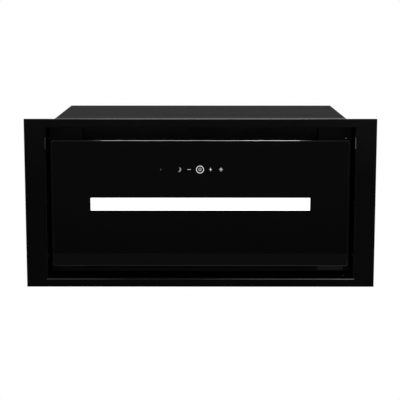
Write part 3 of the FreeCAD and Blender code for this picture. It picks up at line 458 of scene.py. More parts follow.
# Printed board: solder mask over faint tracks, with pale pads
def circuitBoard(name, colour):
    material, tree, shader = openMaterial(name, {"Roughness": 0.35})
    at = objectPlace(tree)
    tracks = addNode(tree, "TexBrick", {
        "Vector": at, "Scale": 60.0, "Mortar Size": 0.035, "Mortar Smooth": 0.1,
        "Brick Width": 0.9, "Row Height": 0.22, "Color1": grey(0), "Color2": grey(0),
        "Mortar": grey(1)}).outputs["Color"]
    pads = cells(tree, at, scale=190.0)
    lit = blendColour(tree, tracks, (*colour, 1), (*[value * 2 for value in colour], 1))
    lit = blendColour(tree, mapRange(tree, pads, 0.2, 0.16), lit, (0.6, 0.58, 0.5, 1))
    feed(tree, shader, {"Base Color": lit, "Normal": bump(tree, pads, 0.2, 0.05 * mm)})
    return material


def litChip(name):
    material, tree, shader = openMaterial(name, {"Roughness": 0.3, "Emission Strength": 1.0})
    cell = noise(tree, objectPlace(tree), scale=900.0)
    tone = blendColour(tree, cell, (0.9, 0.75, 0.3, 1), (1.0, 0.92, 0.6, 1))
    feed(tree, shader, {"Base Color": tone, "Emission Color": tone})
    return material


# The coat of the four chassis walls; inner is a darker tone for their inner faces, painted shade
wallCoat = {
    "tone": 0.0115, "edge": 0.05, "dull": 0.6, "gloss": 0.006, "stretch": (0.4, 0.8, 2.0),
    "inner": 0.0012,
}

# The lower part of the front wall is a little smoother, which only shows nearly edge on. In metres.
bandValues = {"z": (0.13, 0.143), "shine": (0.4, 0.85), "bend": 1.04, "dull": 0.2}


def addBand(material):
    tree = material.node_tree
    shader = tree.nodes["Principled BSDF"]
    at = axesOf(tree, objectPlace(tree))
    low, high = bandValues["z"]
    band = mapRange(tree, at["Z"], high, low)
    shine = mapRange(tree, at["X"], -sideX * mm, sideX * mm, *bandValues["shine"])
    feed(tree, shader, {"Coat Weight": times(tree, band, shine)})
    shader.inputs["Coat IOR"].default_value = bandValues["bend"]
    shader.inputs["Coat Roughness"].default_value = bandValues["dull"]


# The finish of each node of the model. Nodes that go in pairs, such as flap_front and flap_rear,
# share an entry without their last word.
nodeLooks = {
    trimCoat: {"trim_frame": {}},
    powderCoat: {
        "front_wall": wallCoat, "rear_wall": wallCoat, "right_wall": wallCoat,
        "left_wall": dict(wallCoat, inner=0.006),
        "top_cover": {"tone": 0.013, "edge": 0.04, "dull": 0.55, "gloss": 0.15},
        "intake_tray": {"tone": 0.008, "edge": 0.015, "dull": 0.5, "gloss": 0.05},
    },
    blackGlass: {"glass_pane": {}},
    opalStrip: {"light_diffuser": {}},
    litChip: {"led_chips": {}},
    circuitBoard: {
        "led_board": {"colour": (0.7, 0.7, 0.68)}, "touch_board": {"colour": (0.01, 0.06, 0.025)},
        "control_board": {"colour": (0.012, 0.075, 0.03)},
    },
    zincPlate: {
        "panel_pan": {"tone": 0.42}, "hinge_bracket": {"tone": 0.4}, "hinge_arm": {"tone": 0.45},
        "strike_plates": {"tone": 0.5, "size": 400.0}, "lid_screws": {"tone": 0.5, "size": 700.0},
        "spigot_screws": {"tone": 0.5, "size": 700.0}, "motor": {"tone": 0.45, "size": 240.0},
        "motor_spider": {"tone": 0.42},
    },
    drawnMetal: {
        "light_channel": {"tone": 0.7}, "side_clip": {"tone": 0.16, "lines": (1500, 1500, 60)},
        "frame_rivets": {"tone": 0.03, "dull": 0.35}, "wall_screws": {"tone": 0.06, "dull": 0.35},
        "hinge_pins": {"tone": 0.75, "dull": 0.15, "lines": (1500, 40, 40)},
        "centring_studs": {"tone": 0.008, "dull": 0.35},
        # The filter's frame, mesh and layers are near black, which paints the recess's shade on
        # them
        "filter_frame": {"tone": 0.008, "dull": 0.4},
        "filter_mesh": {"tone": 0.012, "dull": 0.4, "lines": (1500, 60, 1500)},
        "filter_layers": {"tone": 0.02, "dull": 0.5, "lines": (900, 900, 900)},
        "motor_shaft": {"tone": 0.75, "dull": 0.16, "lines": (1500, 40, 40)},
        "bearing": {"tone": 0.7, "dull": 0.2}, "damper_spindle": {"tone": 0.7, "dull": 0.2},
    },
    mouldedPlastic: {
        "catch_posts": {"tone": 0.02}, "catch_magnets": {"tone": 0.06, "dull": 0.7, "grain": 700.0},
        "filter_latch": {"tone": 0.004, "dull": 0.45, "gloss": 0.06},
        "latch_guide": {"tone": 0.004, "gloss": 0.06}, "blower_wheel": {"tone": 0.025},
        "scroll": {"tone": 0.3, "dull": 0.6}, "flap": {"tone": 0.28, "dull": 0.55},
        "rubber_mounts": {"tone": 0.015, "dull": 0.8, "gloss": 0.2},
        "duct_spigot": {"tone": 0.022, "dull": 0.5},
        "control_box": {"tone": 0.024, "dull": 0.6, "grain": 900.0},
        "control_lid": {"tone": 0.028, "dull": 0.55, "grain": 900.0},
        "board_relays": {"tone": 0.02, "dull": 0.35}, "cable_gland": {"tone": 0.03, "dull": 0.45},
        "terminal_block": {"tone": 0.75, "dull": 0.4},
        "run_capacitor": {"tone": 0.78, "dull": 0.35},
    },
}


def dressNodes():
    looks = {name: (finish, values) for finish, group in nodeLooks.items()
             for name, values in group.items()}
    for name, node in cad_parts.items():
        finish, values = looks.get(name) or looks[name.rsplit("_", 1)[0]]
        node.material_slots[0].material = finish(name + "_finish", **values)
    addBand(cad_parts["front_wall"].material_slots[0].material)


dressNodes()
print("nodes dressed")


# Small helpers for meshes
def meshOf(name, bm):
    mesh = bpy.data.meshes.new(name)
    bm.to_mesh(mesh)
    bm.free()
    return mesh


def vertsOf(made):
    return [part for part in made["geom"] if isinstance(part, bmesh.types.BMVert)]


# Extrudes faces and gives the new corners
def extruded(bm, faces):
    return vertsOf(bmesh.ops.extrude_face_region(bm, geom=faces))


def move(bm, verts, x, y, z):
    bmesh.ops.translate(bm, verts=verts, vec=(x, y, z))


def rotate(bm, verts, angle, axis="Z"):
    bmesh.ops.rotate(bm, verts=verts, cent=(0, 0, 0), matrix=Matrix.Rotation(angle, 3, axis))


def soften(bm, edges, size, segments):
    bmesh.ops.bevel(bm, geom=edges, offset=size, segments=segments, profile=0.5, affect="EDGES",
                    material=-1)


def newObject(name, bm, material):
    made = bpy.data.objects.new(name, meshOf(name, bm))
    made.data.materials.append(material)
    scene.collection.objects.link(made)
    return made


# New pieces are drawn in mm and in place, so each object stays at the origin
def newPiece(name, bm, material, smooth=False, body="casing"):
    bmesh.ops.scale(bm, verts=bm.verts[:], vec=(mm, mm, mm))
    bmesh.ops.recalc_face_normals(bm, faces=bm.faces[:])
    piece = newObject(name, bm, material)
    for face in piece.data.polygons:
        face.use_smooth = smooth
    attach(piece, body)
    return piece


# Printed touch keys: thin marks in a row on the face of the glass, whose upright is -y.
# Each sign has its x, its size and the tone at which its ink glows, a painted light.
keyValues = {
    "row": -59.5, "face": -3.0, "inside": 0.005, "thick": 0.08, "stroke": 1.0, "fine": 0.8,
    "ring": (-0.6, 6.1, 0.48), "power": (-0.6, 2.1, 0.36), "powerGap": 70, "powerBar": 1.2,
    "minus": (-19.2, 6.0, 0.3), "plus": (17.4, 4.2, 0.45), "plusTall": 5.8,
    "dot": (-67.6, 0.9, 0.025), "dotStretch": 1.8, "moon": (-34.6, 4.4, 0.16), "moonTurn": 0.25,
    "lamp": (35.2, 3.2, 0.2),
}
# Moon and lamp in shares of their radius
signShares = {
    "horn": 0.95, "arcs": (1.0, 0.5), "back": 0.6, "foot": 0.35, "neck": 0.45, "flare": 0.4,
    "bulb": (0.3, 0.75),
}


# Ink that glows at its own tone by emission, a painted light rather than a lamp
def glowingKeyPrint(name, tone):
    material, tree, shader = openMaterial(name, {"Roughness": 0.5, "Emission Strength": 1.0})
    screen = noise(tree, objectPlace(tree), scale=2500.0)
    colour = blendColour(tree, screen, grey(tone * 0.9), grey(tone * 1.1))
    feed(tree, shader, {"Base Color": colour, "Emission Color": colour})
    return material


# An arc of a flat ring about the origin, from one angle to another, in the plane of the face
def flatArc(bm, radius, width, start, turn, steps):
    inner = bm.verts.new((radius - width / 2, 0, 0))
    outer = bm.verts.new((radius + width / 2, 0, 0))
    edge = bm.edges.new((inner, outer))
    rotate(bm, [inner, outer], start)
    whole = abs(turn) > math.tau - 0.001
    bmesh.ops.spin(bm, geom=[inner, outer, edge], cent=(0, 0, 0), axis=(0, 0, 1), angle=turn,
                   steps=steps, use_merge=whole)


def flatBar(bm, y, wide, high):
    made = bmesh.ops.create_grid(bm, x_segments=1, y_segments=1, size=0.5)["verts"]
    bmesh.ops.scale(bm, verts=made, vec=(wide, high, 1))
    move(bm, made, 0, y, 0)


def flatCircle(bm, radius, segments):
    return bmesh.ops.create_circle(bm, cap_ends=True, radius=radius, segments=segments)["verts"]


def drawRing(bm, radius):
    flatArc(bm, radius, keyValues["stroke"], 0, math.tau, steps=64)


def drawPower(bm, radius):
    gap, fine = keyValues["powerGap"], keyValues["fine"]
    flatArc(bm, radius, fine, math.radians(gap / 2 - 90), math.radians(360 - gap), steps=36)
    flatBar(bm, -radius, fine, radius * keyValues["powerBar"])


def drawMinus(bm, wide):
    flatBar(bm, 0, wide, keyValues["fine"])


def drawPlus(bm, wide):
    fine, tall = keyValues["fine"], keyValues["plusTall"]
    flatBar(bm, 0, wide, fine)
    for way in (-1, 1):
        flatBar(bm, way * (tall + fine) / 4, fine, (tall - fine) / 2)


def drawDot(bm, radius):
    flatCircle(bm, radius, 20)
    bmesh.ops.scale(bm, verts=bm.verts[:], vec=(1, keyValues["dotStretch"], 1))


# A crescent between two arcs that meet in its horns
def drawMoon(bm, radius):
    half = radius * signShares["horn"]
    for reach in signShares["arcs"]:
        start = bm.verts.new((0, -half, 0))
        across = radius * reach
        centre = (across - half ** 2 / across) / 2
        swing = 2 * math.atan2(half, -centre)
        bmesh.ops.spin(bm, geom=[start], cent=(centre, 0, 0), axis=(0, 0, 1), angle=swing, steps=16)
    bmesh.ops.remove_doubles(bm, verts=bm.verts[:], dist=0.01)
    bmesh.ops.edgeloop_fill(bm, edges=bm.edges[:])
    rotate(bm, bm.verts[:], keyValues["moonTurn"])
    move(bm, bm.verts[:], -radius * signShares["back"], 0, 0)


# A lamp shade, narrow at the top, wide and flat at the foot, with its bulb
def drawLamp(bm, radius):
    for corner in flatCircle(bm, radius, 24):
        high = min(corner.co.y, radius * signShares["foot"])
        corner.co.x *= signShares["neck"] + signShares["flare"] * (high + radius) / radius
        corner.co.y = high
    bulb, low = signShares["bulb"]
    move(bm, flatCircle(bm, radius * bulb, 16), 0, radius * low, 0)


# Turns each flat sign into a thin print on the glass
def makeKeys():
    values = keyValues
    for sign, draw in (
            ("ring", drawRing), ("power", drawPower), ("minus", drawMinus), ("plus", drawPlus),
            ("dot", drawDot), ("moon", drawMoon), ("lamp", drawLamp)):
        x, size, tone = values[sign]
        bm = bmesh.new()
        draw(bm, size)
        bmesh.ops.remove_doubles(bm, verts=bm.verts[:], dist=0.001)
        move(bm, extruded(bm, bm.faces[:]), 0, 0, -values["thick"])
        move(bm, bm.verts[:], x, values["row"], values["face"] + values["inside"])
        name = "key_" + sign
        newPiece(name, bm, glowingKeyPrint(name + "_glowing_ink", tone), body="panel")


makeKeys()
print("keys printed")


def rimOf(bm, corners):
    return [edge for edge in bm.edges if edge.verts[0] in corners and edge.verts[1] in corners]


# Turned shape: a capped circle raised through rings of (radius, height), closed at its last ring
def turned(bm, rings, segments=24):
    radius, height = rings[0]
    ring = flatCircle(bm, radius, segments)
    move(bm, ring, 0, 0, height)
    edges = rimOf(bm, ring)
    for wide, high in rings[1:]:
        ring = vertsOf(bmesh.ops.extrude_edge_only(bm, edges=edges))
        bmesh.ops.scale(bm, verts=ring, vec=(wide / radius, wide / radius, 1))
        move(bm, ring, 0, 0, high - height)
        edges = rimOf(bm, ring)
        radius, height = wide, high
    bmesh.ops.edgeloop_fill(bm, edges=edges)
    return edges


# Adds a finished mesh to another
def join(bm, other):
    mesh = meshOf("joined", other)
    bm.from_mesh(mesh)
    bpy.data.meshes.remove(mesh)


# Puts copies of one small mesh at several places and turns
def scatter(single, places):
    mesh = meshOf("single", single)
    bm = bmesh.new()
    for place in places:
        known = len(bm.verts)
        bm.from_mesh(mesh)
        bm.verts.ensure_lookup_table()
        bmesh.ops.transform(bm, verts=bm.verts[known:], matrix=place)
    bpy.data.meshes.remove(mesh)
    return bm


def stood(x, y, z, axis="z", sign=1):
    turn = {
        "z": Matrix.Identity(4), "x": Matrix.Rotation(sign * math.pi / 2, 4, "Y"),
        "y": Matrix.Rotation(-sign * math.pi / 2, 4, "X"),
    }[axis]
    return Matrix.Translation((x, y, z)) @ turn


# Turns about the upright axis that share out a whole turn evenly
def turnsRound(count, first=0):
    return [Matrix.Rotation((index + first) * math.tau / count, 4, "Z") for index in range(count)]


# Profiles of heads and the cross in shares of their radius and height
headShares = {
    "pan": ((1, 0.35), (0.93, 0.7), (0.74, 0.93), (0.62, 1)),
    "rivet": ((0.9, 0.55), (0.66, 0.9), (0.36, 1), (0.3, 0.5), (0.12, 0.45)),
    "arm": 0.46, "slim": 0.1, "depth": 0.6, "taper": 0.7,
}


def headProfile(kind, radius, height):
    return [(radius * wide, height * high) for wide, high in headShares[kind]]


# Pan head with a cross recess, its seat at z = 0
def crossHead(radius, height):
    bm = bmesh.new()
    edges = turned(bm, [(radius, -sunk), *headProfile("pan", radius, height)])
    top = [face for face in bm.faces if all(v.co.z > height - 0.001 for v in face.verts)]
    bmesh.ops.delete(bm, geom=top, context="FACES_ONLY")
    arm, slim, taper = radius * headShares["arm"], radius * headShares["slim"], headShares["taper"]
    cross = bmesh.ops.create_grid(bm, x_segments=3, y_segments=3, size=arm)["verts"]
    for corner in cross:  # the grid's inner lines drawn together to the width of an arm
        for axis in (0, 1):
            if abs(corner.co[axis]) < arm * 0.6:
                corner.co[axis] = math.copysign(slim, corner.co[axis])
        corner.co.z = height
    lost = [v for v in cross if abs(v.co.x) > slim * 2 and abs(v.co.y) > slim * 2]
    bmesh.ops.delete(bm, geom=lost, context="VERTS")
    cross = [v for v in cross if v.is_valid]
    rim = [edge for edge in rimOf(bm, cross) if len(edge.link_faces) == 1]
    bmesh.ops.triangle_fill(bm, edges=rim + [e for e in edges if e.is_valid], use_beauty=True)
    floor = [f for f in bm.faces if all(v in cross for v in f.verts) and len(f.verts) == 4]
    low = extruded(bm, floor)
    bmesh.ops.delete(bm, geom=floor, context="FACES")
    move(bm, low, 0, 0, -height * headShares["depth"])
    bmesh.ops.scale(bm, verts=low, vec=(taper, taper, 1))
    return bm


# Fasteners that stand for the plain ones of the model; head is (radius, height)
fastenerValues = {
    "wall": {"head": (3.4, 1.5), "x": sideX, "y": rearY - 14.5, "z": (45, 185, 325)},
    "lid": {"head": (3.8, 2.2), "inset": 6},
    "spigot": {"head": (3.8, 2.2), "at": 58, "z": coverZ + 2},
    "rivet": {"head": (3.2, 0.9), "rim": 0.15, "outer": sideX + 1.2, "inner": sideX - sheet,
              "y": (39 - rearY, 0, rearY - 39), "z": 11},
}


def makeFasteners():
    steel = drawnMetal("blackScrewSteel", tone=0.05, dull=0.32, lines=(900, 900, 900))
    zinc = zincPlate("screwZinc", tone=0.55, dull=0.28, size=900.0)
    wall, lid, spigot, rivet = fastenerValues.values()
    low, high = boxOf("control_lid")
    both = (-1, 1)
    wallPlaces = [stood(side * wall["x"], end * wall["y"], z, "x", side)
                  for side in both for end in both for z in wall["z"]]
    lidPlaces = [stood(x, y, high[2]) for x in (low[0] + lid["inset"], high[0] - lid["inset"])
                 for y in (low[1] + lid["inset"], high[1] - lid["inset"])]
    spigotPlaces = [stood(x * spigot["at"], y * spigot["at"], spigot["z"])
                    for x in both for y in both]
    for name, places, finish, slot in (
            ("wall", wallPlaces, steel, "black_steel"), ("lid", lidPlaces, zinc, "zinc_steel"),
            ("spigot", spigotPlaces, zinc, "zinc_steel")):
        heads = scatter(crossHead(*fastenerValues[name]["head"]), places)
        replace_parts(newPiece(name + "_screw_heads", heads, finish), name + "_screws")
    radius, height = rivet["head"]
    dome = bmesh.new()
    turned(dome, [(radius, -sunk), (radius, rivet["rim"]), *headProfile("rivet", radius, height)])
    places = [stood(side * rivet[layer], y, rivet["z"], "x", side * facing)
              for side in both for y in rivet["y"]
              for layer, facing in (("outer", 1), ("inner", -1))]
    heads = newPiece("rivet_heads", scatter(dome, places), steel, smooth=True)
    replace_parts(heads, "frame_rivets")


makeFasteners()
print("fasteners set")


# Pressed stiffening bead: a pill-shaped plateau that stands proud of its wall. It rises upright by
# its rim, and then by steps of (inset, rise) in shares of its height.
def pressedBead(length, width, height, rim=0.15, steps=((0.8, 0.55), (0.8, 0.3))):
    bm = bmesh.new()
    ring = flatCircle(bm, width / 2, 24)
    rotate(bm, ring, math.pi / 24)
    for corner in ring:
        corner.co.x += math.copysign((length - width) / 2, corner.co.x)
    made = bmesh.ops.extrude_face_region(bm, geom=bm.faces[:])["geom"]
    top = [part for part in made if isinstance(part, bmesh.types.BMFace)]
    move(bm, top[0].verts[:], 0, 0, rim)
    move(bm, [v for v in bm.verts if v not in top[0].verts[:]], 0, 0, -sunk)
    for inset, rise in steps:
        bmesh.ops.inset_region(bm, faces=top, thickness=height * inset, use_even_offset=True)
        move(bm, top[0].verts[:], 0, 0, height * rise)
    return bm


# Beads of the cover, the walls and the panel's pan, each (length, width, height), and weld marks
beadValues = {
    "top": {"size": (170, 12, 1.4), "x": (-225, -180, -135)},
    "edge": {"size": (190, 8, 1.2), "x": (246,)},
    "side": {"size": (190, 11, 1.3), "y": (-62, 62), "z": 232},
    "rear": {"size": (420, 12, 1.4), "z": (95, 185, 275)},
    "pan": {"size": (370, 9, 1.2), "y": (44, 66, -88), "z": 2},
    "marks": {"rings": [(2.6, -0.1), (2.6, 0.1), (1.9, 0.28), (1.0, 0.18)], "z": 363,
              "side": (-87, -29, 29, 87), "rear": (-232, -174, -116, -58, 0, 58, 116, 174, 232)},
    "coverLook": {"tone": 0.016, "dull": 0.5, "gloss": 0.15},
    "wallLook": {"tone": 0.018, "dull": 0.55, "gloss": 0.03},
}


# The same row of places on both side walls
def onSides(places, z):
    return [stood(side * sideX, y, z, "x", side) for side in (-1, 1) for y in places]


def makeBeads():
    top, edge, side, rear, pan, marks, coverLook, wallLook = beadValues.values()
    turn = Matrix.Rotation(math.pi / 2, 4, "Z")
    for name, kind, look, places in (
            ("cover_beads_top", "top", coverLook, [
                stood(x, 0, coverZ) @ turn for x in top["x"]]),
            ("cover_beads_edge", "edge", coverLook, [
                stood(x, 0, coverZ) @ turn for x in edge["x"]]),
            ("side_beads", "side", wallLook, onSides(side["y"], side["z"])),
            ("rear_beads", "rear", wallLook, [stood(0, rearY, z, "y") for z in rear["z"]])):
        newPiece(name, scatter(pressedBead(*beadValues[kind]["size"]), places),
                 powderCoat(kind + "BeadCoat", **look), smooth=True)
    mark = bmesh.new()
    turned(mark, marks["rings"], 16)
    places = onSides(marks["side"], marks["z"])
    places += [stood(x, rearY, marks["z"], "y") for x in marks["rear"]]
    coat = powderCoat("weldMarkCoat", tone=0.018, dull=0.45, gloss=0.05)
    newPiece("weld_marks", scatter(mark, places), coat, smooth=True)
    places = [stood(0, y, pan["z"]) for y in pan["y"]]
    newPiece("pan_beads", scatter(pressedBead(*pan["size"]), places),
             zincPlate("panBeadZinc", tone=0.44), smooth=True, body="panel")


makeBeads()
print("beads pressed")


# Soft seal on the back of the flange, which lies against the cabinet board
sealValues = {"half": (flangeX - 9, flangeY - 2.5), "width": 8, "thick": 2.4, "round": 0.8}


def makeSeal():
    bm = bmesh.new()
    bmesh.ops.create_grid(bm, x_segments=3, y_segments=3, size=1)
    for corner in bm.verts:  # the grid's inner lines moved out to the width of the seal
        for axis, half in enumerate(sealValues["half"]):
            reach = half if abs(corner.co[axis]) > 0.5 else half - sealValues["width"]
            corner.co[axis] = math.copysign(reach, corner.co[axis])
    middle = [face for face in bm.faces if face.calc_center_median().length < 1]
    bmesh.ops.delete(bm, geom=middle, context="FACES_ONLY")
    top = extruded(bm, bm.faces[:])
    move(bm, top, 0, 0, sealValues["thick"])
    bm.normal_update()
    edges = [edge for edge in rimOf(bm, top)
             if not all(len(face.verts) == 4 and face.normal.z > 0.9 for face in edge.link_faces)]
    soften(bm, edges, sealValues["round"], 3)
    foam = mouldedPlastic("sealFoam", tone=0.018, dull=0.9, grain=700.0, gloss=0.1, relief=0.8)
    newPiece("flange_seal", bm, foam)


makeSeal()


# Steel clips over the side walls' lower edges, the ball on the right centring stud, and a small
# plate with its screw under the tray
cornerValues = {
    "clip": {"width": 1.9, "leg": 9.0, "thick": 0.6, "y": (-114.0, -94.5), "round": 0.2,
             # The right clip is lighter than the left: painted light from the right on the same
             # steel
             "tone": {"left": 0.05, "right": 0.13}},
    "ball": {"place": (250.8, boxOf("centring_studs")[0][1] + 2.6, 20.0), "radius": 2.1},
    "plate": {"x": (207, 253), "y": (122, 129), "z": boxOf("intake_tray")[0][2], "thick": 1.4,
              "inside": 0.1, "round": 0.4, "screw": (249.5, 14), "head": (3.2, 1.4)},
}


def plainBox(bm, low, high):
    made = bmesh.ops.create_cube(bm, size=1)["verts"]
    bmesh.ops.scale(bm, verts=made, vec=[b - a for a, b in zip(low, high)])
    move(bm, made, *[(a + b) / 2 for a, b in zip(low, high)])
    return rimOf(bm, made)


def bevelledBox(bm, low, high, size, segments=2):
    soften(bm, plainBox(bm, low, high), size, segments)


# A box whose upright edges are rounded; gives its upper face
def roundedBox(bm, low, high, radius):
    upright = [edge for edge in plainBox(bm, low, high)
               if abs(edge.verts[0].co.z - edge.verts[1].co.z) > 0.01]
    soften(bm, upright, radius, 5)
    bm.normal_update()
    return [face for face in bm.faces if face.normal.z > 0.9]


def makeClips():
    values = cornerValues["clip"]
    low, high = values["y"]
    thick, foot = values["thick"], boxOf("left_wall")[0][2]
    inner = sideX - sheet - thick
    for name, side in (("left", -1), ("right", 1)):
        bm = bmesh.new()
        for wide, top in ((values["width"], foot), (thick, foot + values["leg"])):
            bevelledBox(
                bm, (inner, low, foot - thick), (inner + wide, high, top), values["round"])
        bmesh.ops.scale(bm, verts=bm.verts[:], vec=(side, 1, 1))
        steel = drawnMetal(
            name + "ClipEdge", tone=values["tone"][name], dull=0.3, lines=(1500, 40, 1500))
        newPiece("corner_clip_" + name, bm, steel)


def makeStudBall():
    values = cornerValues["ball"]
    bm = bmesh.new()
    bmesh.ops.create_icosphere(bm, subdivisions=3, radius=values["radius"])
    move(bm, bm.verts[:], *values["place"])
    steel = drawnMetal("ballSteel", tone=0.25, dull=0.2)
    newPiece("stud_ball", bm, steel, smooth=True)


def makeLeadPlate():
    values = cornerValues["plate"]
    bm = bmesh.new()
    (x0, x1), (y0, y1), tray = values["x"], values["y"], values["z"]
    bevelledBox(bm, (x0, y0, tray - values["thick"]), (x1, y1, tray + values["inside"]),
                values["round"])
    coat = powderCoat("leadPlateCoat", tone=0.035, dull=0.45, gloss=0.05)
    newPiece("lead_plate", bm, coat)
    x, z = values["screw"]
    head = scatter(crossHead(*values["head"]), [stood(x, rearY - sheet, z, "y", -1)])
    zinc = zincPlate("leadScrewZinc", tone=0.06, size=900.0)
    newPiece("lead_screw", head, zinc)


makeClips()
makeStudBall()
makeLeadPlate()
print("seal and corner steel in place")


# Case of the control unit: a hollow moulding with fins and feet. A fin is (width, depth), a foot
# (width, depth, height), and a root is how deep either reaches into the wall.
caseValues = {
    "wall": 2.0, "round": 4.0, "fin": (1.4, 0.9), "finStep": 11.0, "finEdge": 9, "finEnd": 3,
    "finRoot": 0.3, "feet": (14, 9, 3), "feetInset": 22, "feetRoot": 0.5, "head": (2.9, 1.6),
}
# Its cover: a sloping lip, a raised field and two rows of slots
coverValues = {
    "round": 4.0, "lip": (0.6, 0.5), "rim": 10.5, "field": 0.9, "slot": (34, 5, 1.1),
    "slotSteps": ((0.3, 0.5), (0.7, 0.1), (0.6, -0.6)),
    "slots": ((145, 191), (-44, -33, -22, -11, 0, 11, 22, 33, 44)),
}


# Places from low to high, one step apart; the last one stays where the steps just fill the length
def spread(low, high, step):
    return [low + index * step for index in range(int((high - low) / step + 0.001) + 1)]


def makeCase():
    values = caseValues
    low, high = boxOf("control_box")
    bm = bmesh.new()
    top = roundedBox(bm, low, high, values["round"])
    bmesh.ops.inset_region(bm, faces=top, thickness=values["wall"], use_even_offset=True)
    floor = extruded(bm, top)
    bmesh.ops.delete(bm, geom=top, context="FACES")
    move(bm, floor, 0, 0, low[2] + values["wall"] - high[2])
    half, proud = values["fin"][0] / 2, values["fin"][1]
    step, edge, root = values["finStep"], values["finEdge"], values["finRoot"]
    foot, head = low[2] + values["finEnd"], high[2] - values["finEnd"]
    for y in spread(low[1] + edge, high[1] - edge, step):
        for x0, x1 in ((low[0] - proud, low[0] + root), (high[0] - root, high[0] + proud)):
            bevelledBox(bm, (x0, y - half, foot), (x1, y + half, head), root, 1)
    for x in spread(low[0] + edge, high[0] - edge, step):
        bevelledBox(
            bm, (x - half, low[1] - proud, foot), (x + half, low[1] + root, head), root, 1)
    wide, deep, tall = values["feet"]
    feet, root = (low[0] + values["feetInset"], high[0] - values["feetInset"]), values["feetRoot"]
    for x in feet:
        for y0, y1 in ((low[1] - deep, low[1] + root), (high[1] - root, high[1] + deep)):
            bevelledBox(bm, (x - wide / 2, y0, low[2]), (x + wide / 2, y1, low[2] + tall), root)
    case = newPiece("control_case", bm, mouldedPlastic(
        "casePlastic", tone=0.024, dull=0.6, grain=900.0))
    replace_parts(case, "control_box")
    places = [stood(x, y, low[2] + tall) for x in feet
              for y in (low[1] - deep / 2, high[1] + deep / 2)]
    newPiece("case_foot_screws", scatter(crossHead(*values["head"]), places),
             zincPlate("footScrewZinc", tone=0.5, size=900.0))


def makeCover():
    values = coverValues
    low, high = boxOf("control_lid")
    bm = bmesh.new()
    top = roundedBox(bm, low, high, values["round"])
    inset, rise = values["lip"]
    bmesh.ops.inset_region(bm, faces=top, thickness=inset, use_even_offset=True)
    move(bm, top[0].verts[:], 0, 0, rise)
    rim, field = values["rim"], values["field"]
    bevelledBox(bm, (low[0] + rim, low[1] + rim, high[2] - rise),
                (high[0] - rim, high[1] - rim, high[2] + field), field * 0.6, 3)
    across, along = values["slots"]
    slot = pressedBead(*values["slot"], steps=values["slotSteps"])
    join(bm, scatter(slot, [stood(x, y, high[2] + field) for x in across for y in along]))
    cover = newPiece("control_cover", bm, mouldedPlastic(
        "coverPlastic", tone=0.028, dull=0.55, grain=900.0))
    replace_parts(cover, "control_lid")


makeCase()
makeCover()
print("control unit moulded")


# Cord gland: a nut on the case, a body and a ribbed cap with the cord's hole
glandValues = {
    "nut": [(9.8, -4.5), (9.8, -0.7), (9.2, 0)], "start": 4.5,
    "cap": [(8.9, -0.2), (8.9, 7.4), (8.4, 9.2), (7.2, 10.9), (6.3, 11.4), (4.9, 11.5), (4.5, 11.1),
            (4.5, 1.0)],
    "ribs": 18, "rib": (1.1, 0.7), "ribX": (8.6, 8.9), "ribZ": (0.8, 7.2), "round": 0.25,
}


def makeGland():
    values = glandValues
    low, high = boxOf("cable_gland")
    x, z, wall = (low[0] + high[0]) / 2, (low[2] + high[2]) / 2, boxOf("control_box")[1][1]
    bm = bmesh.new()
    turned(bm, values["nut"], 6)
    turned(bm, values["cap"], 32)
    wide, proud = values["rib"]
    (inner, outer), (foot, top) = values["ribX"], values["ribZ"]
    rib = bmesh.new()
    bevelledBox(
        rib, (inner, -wide / 2, foot), (outer + proud, wide / 2, top), values["round"], 1)
    join(bm, scatter(rib, turnsRound(values["ribs"])))
    bmesh.ops.transform(bm, verts=bm.verts[:], matrix=stood(x, wall + values["start"], z, "y"))
    nylon = mouldedPlastic("glandNylon", tone=0.03, dull=0.45)
    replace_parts(newPiece("cord_gland", bm, nylon), "cable_gland")


makeGland()


# Snap ridges round the duct spigot, and webs from its foot to its tube
spigotValues = {
    "radius": 75, "ridge": 0.9, "heights": (396, 404), "webs": 8, "web": (75, 86, 372, 384),
    "webWidth": 2.4, "webRoot": 0.5, "webToe": 1.2, "webRound": 0.4,
}


def makeSpigotRidges():
    values = spigotValues
    bm = bmesh.new()
    for height in values["heights"]:
        made = bmesh.ops.create_circle(bm, radius=values["ridge"], segments=10)["verts"]
        rotate(bm, made, math.pi / 2, "X")
        move(bm, made, values["radius"], 0, height)
        bmesh.ops.spin(bm, geom=made + rimOf(bm, made), cent=(0, 0, 0), axis=(0, 0, 1),
                       angle=math.tau, steps=72, use_merge=True)
    plastic = mouldedPlastic("ridgePlastic", tone=0.024)
    newPiece("spigot_ridges", bm, plastic, smooth=True)


def makeSpigotWebs():
    values = spigotValues
    inner, outer, foot, top = values["web"]
    web = bmesh.new()
    for corner in bmesh.ops.create_cube(web, size=1)["verts"]:
        x, y, z = corner.co
        corner.co.x = outer if x > 0 else inner - values["webRoot"]
        corner.co.y = y * values["webWidth"]
        corner.co.z = foot - sunk
        if z > 0:  # the outer upper edge drops to the foot, which leaves a sloping web
            corner.co.z = foot + values["webToe"] if x > 0 else top
    soften(web, web.edges[:], values["webRound"], 2)
    plastic = mouldedPlastic("webPlastic", tone=0.024)
    newPiece("spigot_webs", scatter(web, turnsRound(values["webs"], 0.5)), plastic)


makeSpigotRidges()
makeSpigotWebs()


# Rivets in the foot of each spring clip
clipValues = {
    "y": (-8, 8), "z": 38.5, "off": 1.85, "lean": 9,
    "rings": [(2.6, -0.8), (2.6, 0.1), (2.2, 0.7), (1.3, 1.05), (0.6, 1.1)],
}


